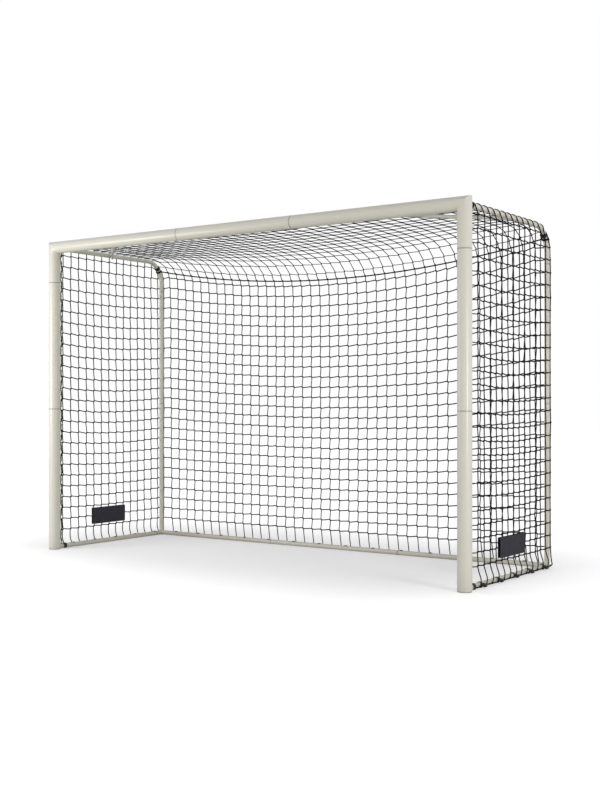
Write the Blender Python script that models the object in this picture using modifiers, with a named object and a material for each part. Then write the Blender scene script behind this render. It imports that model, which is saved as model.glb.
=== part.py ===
"""Portable soccer goal: a bolted tube frame of 3 x 2 m with its net, ropes and clips.

The goal faces -Y, its width runs along X, and its origin is the middle of its footprint.
The front frame is a wide tube in seven pieces over inner sleeves. The rear frame is a thin
tube whose pieces meet on inner joiners. The net is a roof, a back and two sides, which hang
from lacing ropes, a sagging tension rope and an edge rope along the ground.
"""
import math

import bmesh
import bpy
from mathutils import Matrix, Vector

# Overall sizes in metres
GOAL_WIDTH = 3.000
GOAL_HEIGHT = 2.000
FRAME_DEPTH = 1.067
CLEARANCE = 0.0003

# Front frame
POST_DIA = 0.076
POST_WALL = 0.002
POST_SIDES = 24
CROSSBAR_MIDDLE_LENGTH = 0.820
CORNER_DROP = 0.267
POST_MIDDLE_LENGTH = 0.820
SLEEVE_LENGTH = 0.200
SLEEVE_WALL = 0.002

# Foot plugs
PLUG_FLANGE = 0.006
PLUG_EDGE_RADIUS = 0.004
PLUG_EDGE_STEPS = 3
PLUG_INSERT_DIA = 0.068
PLUG_INSERT_LENGTH = 0.030

# Rear frame
BAR_DIA = 0.030
BAR_WALL = 0.0015
BAR_SIDES = 16
BEND_RADIUS = 0.150
BEND_STEPS = 9
BEND_TAIL = 0.057
POLE_LENGTH = 0.807
STUB_LENGTH = 0.067
REAR_BAR_MIDDLE_LENGTH = 0.974
JOINER_LENGTH = 0.100
JOINER_WALL = 0.0015
SPIGOT_LENGTH = 0.060
SPIGOT_WALL = 0.0015

# Braces across the top corners
BRACE_DIA = 0.020
BRACE_WALL = 0.0015
BRACE_SIDES = 12
BRACE_FROM_POST = 0.520
BRACE_BEHIND_CROSSBAR = 0.547
BRACE_DROP = 0.008
BRACE_END_INSET = 0.008
TONGUE_LENGTH = 0.060
TONGUE_WIDTH = 0.016
TONGUE_THICKNESS = 0.003

# Screws
SCREW_DIA = 0.006
SCREW_HEAD_DIA = 0.013
SCREW_HEAD_HEIGHT = 0.0035
SCREW_HEAD_TOP_DIA = 0.008
SCREW_HEAD_RIM = 0.0014
SCREW_LENGTH = 0.012
SCREW_SIDES = 8
SCREW_FROM_SEAM = 0.050
POLE_SCREW_FROM_SEAM = 0.032

# Net, ropes, clips and labels
STRAND = 0.005
NET_COLUMNS = 18
BACK_ROWS = 11
ROOF_ROWS = 6
SIDE_COLUMNS = 6
SIDE_ROWS = 12
SIDE_ROW_SAG = 0.024
BACK_LEAN = 0.45
BACK_HOOK = 30
ROOF_RISE = 0.100
ROOF_RISE_DEPTH = 0.060
ROOF_SLOPE_DEPTH = 0.350
ROOF_ROW_SPREAD = 1.3
ROOF_EDGE_RISE = 0.011
ROOF_EDGE_DROP = 0.028
ROOF_EDGE_POWER = 3
ROPE_DIA = 0.006
EDGE_ROPE_TURNS = 4
TENSION_SAG = 0.142
TENSION_BULGE = 0.012
TIE_STEP = 5
RING_STEP = 4
RING_WIDTH = 0.010
FOOT_CLIP_WIDTH = 0.026
RING_THICKNESS = 0.002
FOOT_CLIP_FROM_POST = 0.084
LABEL_LENGTH = 0.315
LABEL_HEIGHT = 0.110
LABEL_THICKNESS = 0.0015
LABEL_CENTRE_HEIGHT = 0.186
LABEL_FROM_POST = 0.530

# Places that follow from the sizes
POST_R = POST_DIA / 2
BAR_R = BAR_DIA / 2
BRACE_R = BRACE_DIA / 2
ROPE_R = ROPE_DIA / 2
STRAND_R = STRAND / 2
X_POST = GOAL_WIDTH / 2 - POST_R
Z_TOP = GOAL_HEIGHT - POST_R
Z_GROUND_BAR = BAR_R
ROPE_OFFSET = BAR_R + CLEARANCE + ROPE_R
REAR_REACH = ROPE_OFFSET + ROPE_R
Y_FRONT = (POST_R - FRAME_DEPTH - REAR_REACH) / 2
Y_REAR = Y_FRONT + FRAME_DEPTH
Z_POST_UPPER_SEAM = GOAL_HEIGHT - CORNER_DROP
Z_POST_LOWER_SEAM = Z_POST_UPPER_SEAM - POST_MIDDLE_LENGTH
X_CROSSBAR_SEAM = CROSSBAR_MIDDLE_LENGTH / 2
Y_BEND = Y_REAR - BEND_RADIUS
Z_BEND = Z_TOP - BEND_RADIUS
Z_POLE_UPPER_SEAM = Z_BEND - BEND_TAIL
Z_POLE_LOWER_SEAM = Z_POLE_UPPER_SEAM - POLE_LENGTH
Y_STUB_SEAM = Y_REAR - STUB_LENGTH
X_REAR_BAR_SEAM = REAR_BAR_MIDDLE_LENGTH / 2
SPIGOT_DIA = BAR_DIA - 2 * BAR_WALL - 2 * CLEARANCE
Z_BRACE = Z_TOP - BRACE_DROP
Z_TONGUE = Z_TOP - BAR_R - CLEARANCE
NET_OFFSET = BAR_R + CLEARANCE + RING_THICKNESS + CLEARANCE + STRAND_R
X_NET = X_POST + NET_OFFSET
ROPE_REACH = X_POST - BAR_R - CLEARANCE
ROPE_SPAN = ROPE_REACH - ROPE_DIA
NET_REACH = X_POST - NET_OFFSET
Z_NET_BOTTOM = Z_GROUND_BAR + CLEARANCE + STRAND_R
Z_EDGE_ROPE = Z_GROUND_BAR - ROPE_R
HALF_SEAM = CLEARANCE / 2
OVERSHOOT = 0.002

SMOOTH_ANGLE = math.radians(35)
QUARTER_TURN = math.radians(90)
PARTS = "soccer_goal"
TOOLS = "soccer_goal_cutters"
SIDES = (("left", -1.0), ("right", 1.0))
AXIS_X = Vector((1.0, 0.0, 0.0))
AXIS_Y = Vector((0.0, 1.0, 0.0))
AXIS_Z = Vector((0.0, 0.0, 1.0))


def clear_scene():
    """Remove whatever the file opened with."""
    for obj in list(bpy.data.objects):
        bpy.data.objects.remove(obj, do_unlink=True)


def new_collection(name):
    """Make a collection under the scene."""
    collection = bpy.data.collections.new(name)
    bpy.context.scene.collection.children.link(collection)
    return collection


def new_material(name, colour, roughness, metallic):
    """Make a Principled material from a linear colour."""
    material = bpy.data.materials.new(name)
    material.use_nodes = True
    shader = material.node_tree.nodes["Principled BSDF"]
    shader.inputs["Base Color"].default_value = (*colour, 1.0)
    shader.inputs["Roughness"].default_value = roughness
    shader.inputs["Metallic"].default_value = metallic
    material.diffuse_color = (*colour, 1.0)
    return material


def frame_from_axis(axis):
    """Rotation whose Z is the axis and whose X is a world axis square to it."""
    axis = axis.normalized()
    side = AXIS_X if abs(axis.x) < 0.5 else AXIS_Y
    side = (side - axis * side.dot(axis)).normalized()
    return Matrix((side, axis.cross(side), axis)).transposed()


def placed(point, axis):
    """Matrix that puts local Z along the axis at the point."""
    return Matrix.Translation(point) @ frame_from_axis(axis).to_4x4()


def part(name, data, material):
    """Link mesh or curve data into the goal's collection as one named piece."""
    obj = bpy.data.objects.new(name, data)
    obj.data.materials.append(material)
    bpy.data.collections[PARTS].objects.link(obj)
    return obj


def cutter(name, mesh):
    """Link a mesh into the cutters' collection, hidden from renders and drawn as wire."""
    obj = bpy.data.objects.new(name, mesh)
    obj.hide_render = True
    obj.display_type = "WIRE"
    bpy.data.collections[TOOLS].objects.link(obj)
    return obj


def combine(target, tool, operation):
    """Join, or cut, the target with a tool object by an exact Boolean."""
    modifier = target.modifiers.new(f"{operation.lower()} {tool.name}", "BOOLEAN")
    modifier.operation = operation
    modifier.solver = "EXACT"
    modifier.object = tool


def mesh_from(bm, name):
    """Turn a bmesh into mesh data, with round sides shaded smooth."""
    mesh = bpy.data.meshes.new(name)
    bm.to_mesh(mesh)
    bm.free()
    mesh.shade_smooth()
    mesh.set_sharp_from_angle(angle=SMOOTH_ANGLE)
    return mesh


def rod_mesh(name, start, end, radius, sides):
    """Closed round rod between two points."""
    bm = bmesh.new()
    span = end - start
    bmesh.ops.create_cone(
        bm, cap_ends=True, segments=sides, radius1=radius, radius2=radius, depth=span.length,
        matrix=placed((start + end) / 2, span))
    return mesh_from(bm, name)


def tube_surface(name, path, radius, sides):
    """Open round surface along a path, mitred at each inner point of the path."""
    bm = bmesh.new()
    first = (path[1] - path[0]).normalized()
    ring = bmesh.ops.create_circle(
        bm, cap_ends=False, segments=sides, radius=radius, matrix=placed(path[0], first))["verts"]
    edges = list({edge for vert in ring for edge in vert.link_edges})
    for index in range(1, len(path)):
        run = (path[index] - path[index - 1]).normalized()
        ahead = path[min(index + 1, len(path) - 1)] - path[index]
        plane = (run + ahead.normalized()).normalized()
        grown = bmesh.ops.extrude_edge_only(bm, edges=edges)["geom"]
        ring = [item for item in grown if isinstance(item, bmesh.types.BMVert)]
        for vert in ring:
            vert.co += run * ((path[index] - vert.co).dot(plane) / run.dot(plane))
        members = set(ring)
        edges = [item for item in grown
                 if isinstance(item, bmesh.types.BMEdge) and members.issuperset(item.verts)]
    bmesh.ops.recalc_face_normals(bm, faces=bm.faces)
    return mesh_from(bm, name)


def tube(name, path, diameter, wall, sides, material):
    """Tube piece: an open surface whose wall grows inwards."""
    obj = part(name, tube_surface(name, path, diameter / 2, sides), material)
    shell = obj.modifiers.new("wall", "SOLIDIFY")
    shell.thickness = wall
    shell.offset = -1.0
    shell.use_even_offset = True
    return obj


def turned_mesh(name, profile):
    """Open outline of radius and height pairs, for a Screw modifier to turn."""
    mesh = bpy.data.meshes.new(name)
    points = [(radius, 0.0, height) for radius, height in profile]
    edges = [(index, index + 1) for index in range(len(points) - 1)]
    mesh.from_pydata(points, edges, [])
    return mesh


def turned(name, profile, sides, material, matrix):
    """Turned piece from a profile that runs down its outer side."""
    obj = part(name, turned_mesh(name, profile), material)
    obj.matrix_world = matrix
    spin = obj.modifiers.new("turn", "SCREW")
    spin.steps = sides
    spin.render_steps = sides
    spin.use_merge_vertices = True
    spin.merge_threshold = 0.00001
    spin.use_smooth_shade = True
    return obj


def rope(name, points, diameter, material):
    """Rope or cord with closed ends through the points."""
    curve = bpy.data.curves.new(name, "CURVE")
    curve.dimensions = "3D"
    curve.bevel_depth = diameter / 2
    curve.bevel_resolution = 2
    curve.use_fill_caps = True
    spline = curve.splines.new("POLY")
    spline.points.add(len(points) - 1)
    for slot, point in zip(spline.points, points):
        slot.co = (*point, 1.0)
    return part(name, curve, material)


def net(name, columns, rows, surface, material):
    """Net panel: a grid laid on a surface of two parameters, thickened to strands."""
    bm = bmesh.new()
    bmesh.ops.create_grid(bm, x_segments=columns, y_segments=rows, size=1.0)
    for vert in bm.verts:
        vert.co = surface((vert.co.x + 1.0) / 2, (vert.co.y + 1.0) / 2)
    bmesh.ops.recalc_face_normals(bm, faces=bm.faces)
    obj = part(name, mesh_from(bm, name), material)
    strands = obj.modifiers.new("strands", "WIREFRAME")
    strands.thickness = STRAND
    strands.offset = 0.0
    strands.use_even_offset = True
    strands.use_boundary = True
    strands.use_replace = True
    return obj


def add_seat_cutter(name, start, end, radius, sides):
    """Rod cutter that leaves the clearance round a tube of the given radius."""
    return cutter(name, rod_mesh(name, start, end, radius + CLEARANCE, sides))


def front_frame(paint):
    """Corners, crossbar middle and posts, seam to seam."""
    x_seam = X_CROSSBAR_SEAM
    crossbar = [Vector((-x_seam + HALF_SEAM, Y_FRONT, Z_TOP)),
                Vector((x_seam - HALF_SEAM, Y_FRONT, Z_TOP))]
    pieces = {"crossbar_middle": tube(
        "crossbar_middle", crossbar, POST_DIA, POST_WALL, POST_SIDES, paint)}
    for side, sign in SIDES:
        x_post = sign * X_POST
        corner = [Vector((sign * (x_seam + HALF_SEAM), Y_FRONT, Z_TOP)),
                  Vector((x_post, Y_FRONT, Z_TOP)),
                  Vector((x_post, Y_FRONT, Z_POST_UPPER_SEAM + HALF_SEAM))]
        middle = [Vector((x_post, Y_FRONT, Z_POST_UPPER_SEAM - HALF_SEAM)),
                  Vector((x_post, Y_FRONT, Z_POST_LOWER_SEAM + HALF_SEAM))]
        lower = [Vector((x_post, Y_FRONT, Z_POST_LOWER_SEAM - HALF_SEAM)),
                 Vector((x_post, Y_FRONT, PLUG_FLANGE + CLEARANCE))]
        for stem, path in (("corner", corner), ("post_middle", middle), ("post_lower", lower)):
            name = f"{stem}_{side}"
            pieces[name] = tube(name, path, POST_DIA, POST_WALL, POST_SIDES, paint)
        for stem, height in (("corner", Z_TOP), ("post_lower", Z_GROUND_BAR)):
            add_spigot(pieces[f"{stem}_{side}"], side, x_post, height)
    return pieces


def add_spigot(piece, side, x, z):
    """Weld the hollow spigot that a side bar slides onto to the rear of a front tube."""
    root = Vector((x, Y_FRONT + POST_R - 2 * SPIGOT_WALL + CLEARANCE, z))
    wall_end = Vector((x, Y_FRONT + POST_R + OVERSHOOT, z))
    tip = Vector((x, Y_FRONT + POST_R + SPIGOT_LENGTH, z))
    radius = SPIGOT_DIA / 2
    solid = cutter(f"{piece.name}_spigot", rod_mesh("spigot", root, tip, radius, BAR_SIDES))
    bore = cutter(f"{piece.name}_spigot_bore", rod_mesh(
        "spigot_bore", wall_end, tip + AXIS_Y * OVERSHOOT, radius - SPIGOT_WALL, BAR_SIDES))
    combine(piece, solid, "UNION")
    combine(piece, bore, "DIFFERENCE")
    if z < PLUG_FLANGE + radius:
        below = Vector((x, Y_FRONT, -OVERSHOOT))
        above = Vector((x, Y_FRONT, PLUG_FLANGE + CLEARANCE))
        seat = add_seat_cutter(f"plug_seat_{side}", below, above, POST_R, POST_SIDES)
        combine(piece, seat, "DIFFERENCE")


def front_sleeves(metal):
    """Inner sleeves that bridge the seams of the front frame."""
    sleeve_dia = POST_DIA - 2 * POST_WALL - 2 * CLEARANCE
    half = SLEEVE_LENGTH / 2
    sleeves = {}
    for side, sign in SIDES:
        seams = {"crossbar": (Vector((sign * X_CROSSBAR_SEAM, Y_FRONT, Z_TOP)), sign * AXIS_X),
                 "post_upper": (Vector((sign * X_POST, Y_FRONT, Z_POST_UPPER_SEAM)), AXIS_Z),
                 "post_lower": (Vector((sign * X_POST, Y_FRONT, Z_POST_LOWER_SEAM)), -AXIS_Z)}
        for stem, (centre, outward) in seams.items():
            name = f"{stem}_sleeve_{side}"
            path = [centre - outward * half, centre + outward * half]
            obj = tube(name, path, sleeve_dia, SLEEVE_WALL, POST_SIDES, metal)
            sleeves[name] = (obj, centre + outward * SCREW_FROM_SEAM)
    return sleeves


def screw(name, seat, outward, material):
    """Pan head screw whose head sits the clearance off its seat."""
    head_r = SCREW_HEAD_DIA / 2
    shank_r = SCREW_DIA / 2
    profile = [(0.0, SCREW_HEAD_HEIGHT), (SCREW_HEAD_TOP_DIA / 2, SCREW_HEAD_HEIGHT),
               (head_r, SCREW_HEAD_RIM), (head_r, 0.0),
               (shank_r, 0.0), (shank_r, -SCREW_LENGTH), (0.0, -SCREW_LENGTH)]
    matrix = placed(seat + outward * CLEARANCE, outward)
    return turned(name, profile, SCREW_SIDES, material, matrix)


def drill(name, seat, outward, targets):
    """Screw hole with the clearance round the shank, through every target."""
    start = seat + outward * OVERSHOOT
    end = seat - outward * (SCREW_LENGTH + OVERSHOOT)
    radius = SCREW_DIA / 2 + CLEARANCE
    hole = cutter(f"{name}_hole", rod_mesh(name, start, end, radius, SCREW_SIDES))
    for target in targets:
        combine(target, hole, "DIFFERENCE")


def joint_screws(frame, sleeves, steel):
    """Screws from behind that hold each sleeve; the crossbar's stand above its lacing."""
    above_lacing = (AXIS_Y + AXIS_Z).normalized()
    for side, _ in SIDES:
        for stem, piece, outward in (("crossbar", "corner", above_lacing),
                                     ("post_upper", "corner", AXIS_Y),
                                     ("post_lower", "post_lower", AXIS_Y)):
            sleeve, centre = sleeves[f"{stem}_sleeve_{side}"]
            seat = centre + outward * POST_R
            name = f"{stem}_screw_{side}"
            screw(name, seat, outward, steel)
            drill(name, seat, outward, (frame[f"{piece}_{side}"], sleeve))


def foot_plugs(plastic):
    """Plastic plugs that close the posts and stand on the ground."""
    insert_r = PLUG_INSERT_DIA / 2
    profile = [(0.0, PLUG_FLANGE + PLUG_INSERT_LENGTH), (insert_r, PLUG_FLANGE + PLUG_INSERT_LENGTH),
               (insert_r, PLUG_FLANGE), (POST_R, PLUG_FLANGE)]
    for step in range(PLUG_EDGE_STEPS + 1):
        angle = QUARTER_TURN * step / PLUG_EDGE_STEPS
        profile.append((POST_R - PLUG_EDGE_RADIUS * (1 - math.cos(angle)),
                        PLUG_EDGE_RADIUS * (1 - math.sin(angle))))
    profile.append((0.0, 0.0))
    for side, sign in SIDES:
        foot = Matrix.Translation((sign * X_POST, Y_FRONT, 0.0))
        turned(f"foot_plug_{side}", profile, POST_SIDES, plastic, foot)


def bend_point(x, step):
    """Point on the axis of a rear bend, counted in steps from its top."""
    angle = QUARTER_TURN * step / BEND_STEPS
    return Vector((x, Y_BEND + BEND_RADIUS * math.sin(angle), Z_BEND + BEND_RADIUS * math.cos(angle)))


def bend_chord(x, step):
    """Middle and direction of one straight step of a rear bend."""
    start = bend_point(x, step)
    end = bend_point(x, step + 1)
    return (start + end) / 2, (end - start).normalized()


def rear_frame(paint):
    """Top side bars with their bends, poles, welded ground corners and ground bars."""
    pieces = {}
    for side, sign in SIDES:
        x = sign * X_POST
        top = [Vector((x, Y_FRONT, Z_TOP))]
        top += [bend_point(x, step) for step in range(BEND_STEPS + 1)]
        top.append(Vector((x, Y_REAR, Z_POLE_UPPER_SEAM + HALF_SEAM)))
        pole = [Vector((x, Y_REAR, Z_POLE_UPPER_SEAM - HALF_SEAM)),
                Vector((x, Y_REAR, Z_POLE_LOWER_SEAM + HALF_SEAM))]
        ground = [Vector((x, Y_FRONT, Z_GROUND_BAR)),
                  Vector((x, Y_STUB_SEAM - HALF_SEAM, Z_GROUND_BAR))]
        for stem, path in (("top_side_bar", top), ("rear_pole", pole), ("ground_side_bar", ground)):
            name = f"{stem}_{side}"
            pieces[name] = tube(name, path, BAR_DIA, BAR_WALL, BAR_SIDES, paint)
        seat_bars(pieces, side, x)
        pieces[f"rear_corner_{side}"] = rear_corner(side, sign, paint)
    middle = [Vector((-X_REAR_BAR_SEAM + HALF_SEAM, Y_REAR, Z_GROUND_BAR)),
              Vector((X_REAR_BAR_SEAM - HALF_SEAM, Y_REAR, Z_GROUND_BAR))]
    pieces["rear_bar_middle"] = tube(
        "rear_bar_middle", middle, BAR_DIA, BAR_WALL, BAR_SIDES, paint)
    return pieces


def seat_bars(pieces, side, x):
    """Shape the front ends of the side bars to the round tubes that they meet."""
    post = add_seat_cutter(
        f"post_seat_{side}", Vector((x, Y_FRONT, -POST_DIA)),
        Vector((x, Y_FRONT, GOAL_HEIGHT + POST_DIA)), POST_R, POST_SIDES)
    crossbar = add_seat_cutter(
        f"crossbar_seat_{side}", Vector((x - POST_DIA, Y_FRONT, Z_TOP)),
        Vector((x + POST_DIA, Y_FRONT, Z_TOP)), POST_R, POST_SIDES)
    combine(pieces[f"ground_side_bar_{side}"], post, "DIFFERENCE")
    combine(pieces[f"top_side_bar_{side}"], post, "DIFFERENCE")
    combine(pieces[f"top_side_bar_{side}"], crossbar, "DIFFERENCE")


def rear_corner(side, sign, paint):
    """Welded corner: lower pole, stub for the side bar and arm of the rear bar."""
    name = f"rear_corner_{side}"
    x = sign * X_POST
    foot = Vector((x, Y_REAR, 0.0))
    hub = Vector((x, Y_REAR, Z_GROUND_BAR))
    top = Vector((x, Y_REAR, Z_POLE_LOWER_SEAM - HALF_SEAM))
    stub = Vector((x, Y_STUB_SEAM + HALF_SEAM, Z_GROUND_BAR))
    arm = Vector((sign * (X_REAR_BAR_SEAM + HALF_SEAM), Y_REAR, Z_GROUND_BAR))
    bore_r = BAR_R - BAR_WALL
    obj = part(name, rod_mesh(name, foot, top, BAR_R, BAR_SIDES), paint)
    for stem, end in (("stub", stub), ("arm", arm)):
        combine(obj, cutter(f"{name}_{stem}", rod_mesh(stem, hub, end, BAR_R, BAR_SIDES)), "UNION")
    floor = foot + AXIS_Z * BAR_WALL
    bores = (("pole_bore", floor, top, AXIS_Z), ("stub_bore", hub, stub, -AXIS_Y),
             ("arm_bore", hub, arm, -sign * AXIS_X))
    for stem, start, end, outward in bores:
        mesh = rod_mesh(stem, start, end + outward * OVERSHOOT, bore_r, BAR_SIDES)
        combine(obj, cutter(f"{name}_{stem}", mesh), "DIFFERENCE")
    return obj


def joiners(steel):
    """Inner joiners that bridge the seams of the rear frame."""
    half = JOINER_LENGTH / 2
    pieces = {}
    for side, sign in SIDES:
        x = sign * X_POST
        seams = {"pole_upper": (Vector((x, Y_REAR, Z_POLE_UPPER_SEAM)), AXIS_Z),
                 "pole_lower": (Vector((x, Y_REAR, Z_POLE_LOWER_SEAM)), AXIS_Z),
                 "side_bar": (Vector((x, Y_STUB_SEAM, Z_GROUND_BAR)), AXIS_Y),
                 "rear_bar": (Vector((sign * X_REAR_BAR_SEAM, Y_REAR, Z_GROUND_BAR)), AXIS_X)}
        for stem, (centre, axis) in seams.items():
            name = f"{stem}_joiner_{side}"
            path = [centre - axis * half, centre + axis * half]
            pieces[name] = tube(name, path, SPIGOT_DIA, JOINER_WALL, BAR_SIDES, steel)
    return pieces


def pole_screws(frame, inner, steel):
    """Screws on the front faces of the poles that hold the upper joiners."""
    for side, sign in SIDES:
        seat = Vector((sign * X_POST, Y_REAR - BAR_R, Z_POLE_UPPER_SEAM - POLE_SCREW_FROM_SEAM))
        name = f"pole_screw_{side}"
        screw(name, seat, -AXIS_Y, steel)
        drill(name, seat, -AXIS_Y, (frame[f"rear_pole_{side}"], inner[f"pole_upper_joiner_{side}"]))


def braces(frame, paint, steel):
    """Diagonal braces between crossbar and side bars, with a tongue screwed under each bar."""
    for side, sign in SIDES:
        x_front = sign * (X_POST - BRACE_FROM_POST)
        front = Vector((x_front, Y_FRONT, Z_BRACE))
        rear = Vector((sign * X_POST, Y_FRONT + BRACE_BEHIND_CROSSBAR, Z_BRACE))
        run = (rear - front).normalized()
        name = f"brace_{side}"
        obj = tube(name, [front, rear - run * BRACE_END_INSET], BRACE_DIA, BRACE_WALL,
                   BRACE_SIDES, paint)
        crossbar = add_seat_cutter(
            f"{name}_crossbar_seat", Vector((x_front - POST_DIA, Y_FRONT, Z_TOP)),
            Vector((x_front + POST_DIA, Y_FRONT, Z_TOP)), POST_R, POST_SIDES)
        bar = add_seat_cutter(
            f"{name}_bar_seat", Vector((sign * X_POST, rear.y - POST_DIA, Z_TOP)),
            Vector((sign * X_POST, rear.y + POST_DIA, Z_TOP)), BAR_R, BAR_SIDES)
        combine(obj, crossbar, "DIFFERENCE")
        combine(obj, brace_tongue(name, rear, run), "UNION")
        combine(obj, bar, "DIFFERENCE")
        seat = Vector((rear.x, rear.y, Z_TONGUE - TONGUE_THICKNESS))
        screw(f"{name}_screw", seat, -AXIS_Z, steel)
        drill(f"{name}_screw", seat, -AXIS_Z, (obj, frame[f"top_side_bar_{side}"]))


def brace_tongue(name, rear, run):
    """Flat tongue of a brace, from its tube's lower wall to just past the side bar's axis."""
    bm = bmesh.new()
    centre = rear - run * (TONGUE_LENGTH / 2 - BRACE_R)
    centre.z = Z_TONGUE - TONGUE_THICKNESS / 2
    size = Matrix.Diagonal((TONGUE_THICKNESS, TONGUE_WIDTH, TONGUE_LENGTH, 1.0))
    upright = Matrix((AXIS_Z, run.cross(AXIS_Z), run)).transposed().to_4x4()
    bmesh.ops.create_cube(bm, size=1.0, matrix=Matrix.Translation(centre) @ upright @ size)
    return cutter(f"{name}_tongue", mesh_from(bm, f"{name}_tongue"))


def tension_point(x):
    """Point of the tension rope between its two ties, sagging and bowed back."""
    tie, _ = bend_chord(X_POST, TIE_STEP)
    spare = max(0.0, 1 - (x / ROPE_SPAN) ** 2)
    return Vector((x, tie.y + TENSION_BULGE * spare, tie.z - TENSION_SAG * spare))


def roof_edge(across):
    """Front edge of the roof net, behind the crossbar, low in the middle and over the braces."""
    rise = ROOF_EDGE_RISE - ROOF_EDGE_DROP * (1 - across ** 2) ** ROOF_EDGE_POWER
    reach = POST_R + CLEARANCE + STRAND_R
    return Y_FRONT + math.sqrt(reach ** 2 - rise ** 2), Z_TOP + rise


def roof_surface(u, v):
    """Roof net: a steep rise off the tension rope, then a slow climb to the crossbar."""
    across = 2 * u - 1
    start = tension_point(across * NET_REACH)
    y_end, z_end = roof_edge(across)
    depth = (start.y - y_end) * v ** ROOF_ROW_SPREAD
    z_start = start.z + ROPE_R + CLEARANCE + STRAND_R
    climb = z_end - z_start
    steep = min(ROOF_RISE, climb)
    slope = (1 - math.exp(-depth / ROOF_SLOPE_DEPTH)) / (
        1 - math.exp(-(start.y - y_end) / ROOF_SLOPE_DEPTH))
    z = z_start + steep * (1 - math.exp(-depth / ROOF_RISE_DEPTH)) + (climb - steep) * slope
    return Vector((start.x, start.y - depth, z))


def back_surface(u, v):
    """Back net: from the edge rope up to the underside of the tension rope."""
    rope_point = tension_point((2 * u - 1) * NET_REACH)
    z_top = rope_point.z - ROPE_R - CLEARANCE - STRAND_R
    y_bottom = Y_REAR + ROPE_OFFSET
    lean = BACK_LEAN * v + (1 - BACK_LEAN) * v ** BACK_HOOK
    z = Z_NET_BOTTOM + (z_top - Z_NET_BOTTOM) * v
    return Vector((rope_point.x, y_bottom + (rope_point.y - y_bottom) * lean, z))


def side_surface(sign, u, v):
    """Side net: flat outside the bars, its rows sagging and its rear edge round the bend."""
    y_start = Y_FRONT + math.sqrt((POST_R + CLEARANCE + STRAND_R) ** 2 - NET_OFFSET ** 2)
    z = Z_NET_BOTTOM + (Z_TOP - Z_NET_BOTTOM) * v
    above = max(0.0, z - Z_BEND)
    y_end = Y_BEND + math.sqrt(BEND_RADIUS ** 2 - above ** 2)
    sag = SIDE_ROW_SAG * math.sin(math.pi * u) * math.sin(math.pi * v)
    return Vector((sign * X_NET, y_start + (y_end - y_start) * u, z - sag))


def nets(cord):
    """Roof, back and side nets."""
    net("net_roof", NET_COLUMNS, ROOF_ROWS, roof_surface, cord)
    net("net_back", NET_COLUMNS, BACK_ROWS, back_surface, cord)
    for side, sign in SIDES:
        net(f"net_{side}", SIDE_COLUMNS, SIDE_ROWS,
            lambda u, v, s=sign: side_surface(s, u, v), cord)


def ropes(cord):
    """Tension rope, lacing ropes at the front frame and edge rope round the ground bars."""
    spread = [2 * index / NET_COLUMNS - 1 for index in range(NET_COLUMNS + 1)]
    tension = [tension_point(across * ROPE_SPAN) for across in spread]
    tension = [tension_point(-ROPE_REACH)] + tension + [tension_point(ROPE_REACH)]
    rope("tension_rope", tension, ROPE_DIA, cord)
    lacing_r = POST_R + CLEARANCE + ROPE_R
    above_net = STRAND_R + CLEARANCE + ROPE_R
    crossbar = []
    for across in spread:
        _, z_edge = roof_edge(across)
        z = z_edge + above_net
        y = Y_FRONT + math.sqrt(lacing_r ** 2 - (z - Z_TOP) ** 2)
        crossbar.append(Vector((across * ROPE_REACH, y, z)))
    rope("crossbar_lacing", crossbar, ROPE_DIA, cord)
    out = NET_OFFSET - STRAND_R - CLEARANCE - ROPE_R
    y_lacing = Y_FRONT + math.sqrt(lacing_r ** 2 - out ** 2)
    for side, sign in SIDES:
        x = sign * (X_POST + out)
        ends = [Vector((x, y_lacing, 2 * BAR_R + CLEARANCE)),
                Vector((x, y_lacing, Z_TOP - BAR_R - CLEARANCE))]
        rope(f"post_lacing_{side}", ends, ROPE_DIA, cord)
    rope("edge_rope", edge_rope_points(), ROPE_DIA, cord)


def edge_rope_points():
    """Route outside the ground bars, turning round each rear corner in equal chords."""
    half_turn = QUARTER_TURN / EDGE_ROPE_TURNS / 2
    reach = ROPE_OFFSET / math.cos(half_turn)
    y_start = Y_FRONT + FOOT_CLIP_FROM_POST + FOOT_CLIP_WIDTH / 2 + CLEARANCE
    right = [Vector((X_POST + ROPE_OFFSET, y_start, Z_EDGE_ROPE))]
    for turn in range(EDGE_ROPE_TURNS):
        angle = half_turn * (2 * turn + 1)
        right.append(Vector((X_POST + reach * math.cos(angle), Y_REAR + reach * math.sin(angle),
                             Z_EDGE_ROPE)))
    left = [Vector((-point.x, point.y, point.z)) for point in right]
    return left + right[::-1]


def ring(name, centre, axis, width, plastic):
    """Plastic ring round a bar, the clearance off it."""
    inner = BAR_R + CLEARANCE
    outer = inner + RING_THICKNESS
    half = width / 2
    profile = [(inner, half), (outer, half), (outer, -half), (inner, -half), (inner, half)]
    return turned(name, profile, BAR_SIDES, plastic, placed(centre, axis))


def rings_and_clips(plastic):
    """Rings on the rear bends and open clips on the ground bars behind the posts."""
    ground = bmesh.new()
    size = (2 * GOAL_WIDTH, 2 * FOOT_CLIP_WIDTH, POST_DIA)
    centre = Vector((0.0, Y_FRONT + FOOT_CLIP_FROM_POST, CLEARANCE - POST_DIA / 2))
    bmesh.ops.create_cube(ground, size=1.0, matrix=Matrix.Translation(centre) @ Matrix.Diagonal(
        (*size, 1.0)))
    below = cutter("ground_under_clips", mesh_from(ground, "ground_under_clips"))
    for side, sign in SIDES:
        middle, along = bend_chord(sign * X_POST, RING_STEP)
        ring(f"bend_ring_{side}", middle, along, RING_WIDTH, plastic)
        place = Vector((sign * X_POST, Y_FRONT + FOOT_CLIP_FROM_POST, Z_GROUND_BAR))
        clip = ring(f"foot_clip_{side}", place, AXIS_Y, FOOT_CLIP_WIDTH, plastic)
        combine(clip, below, "DIFFERENCE")


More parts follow.
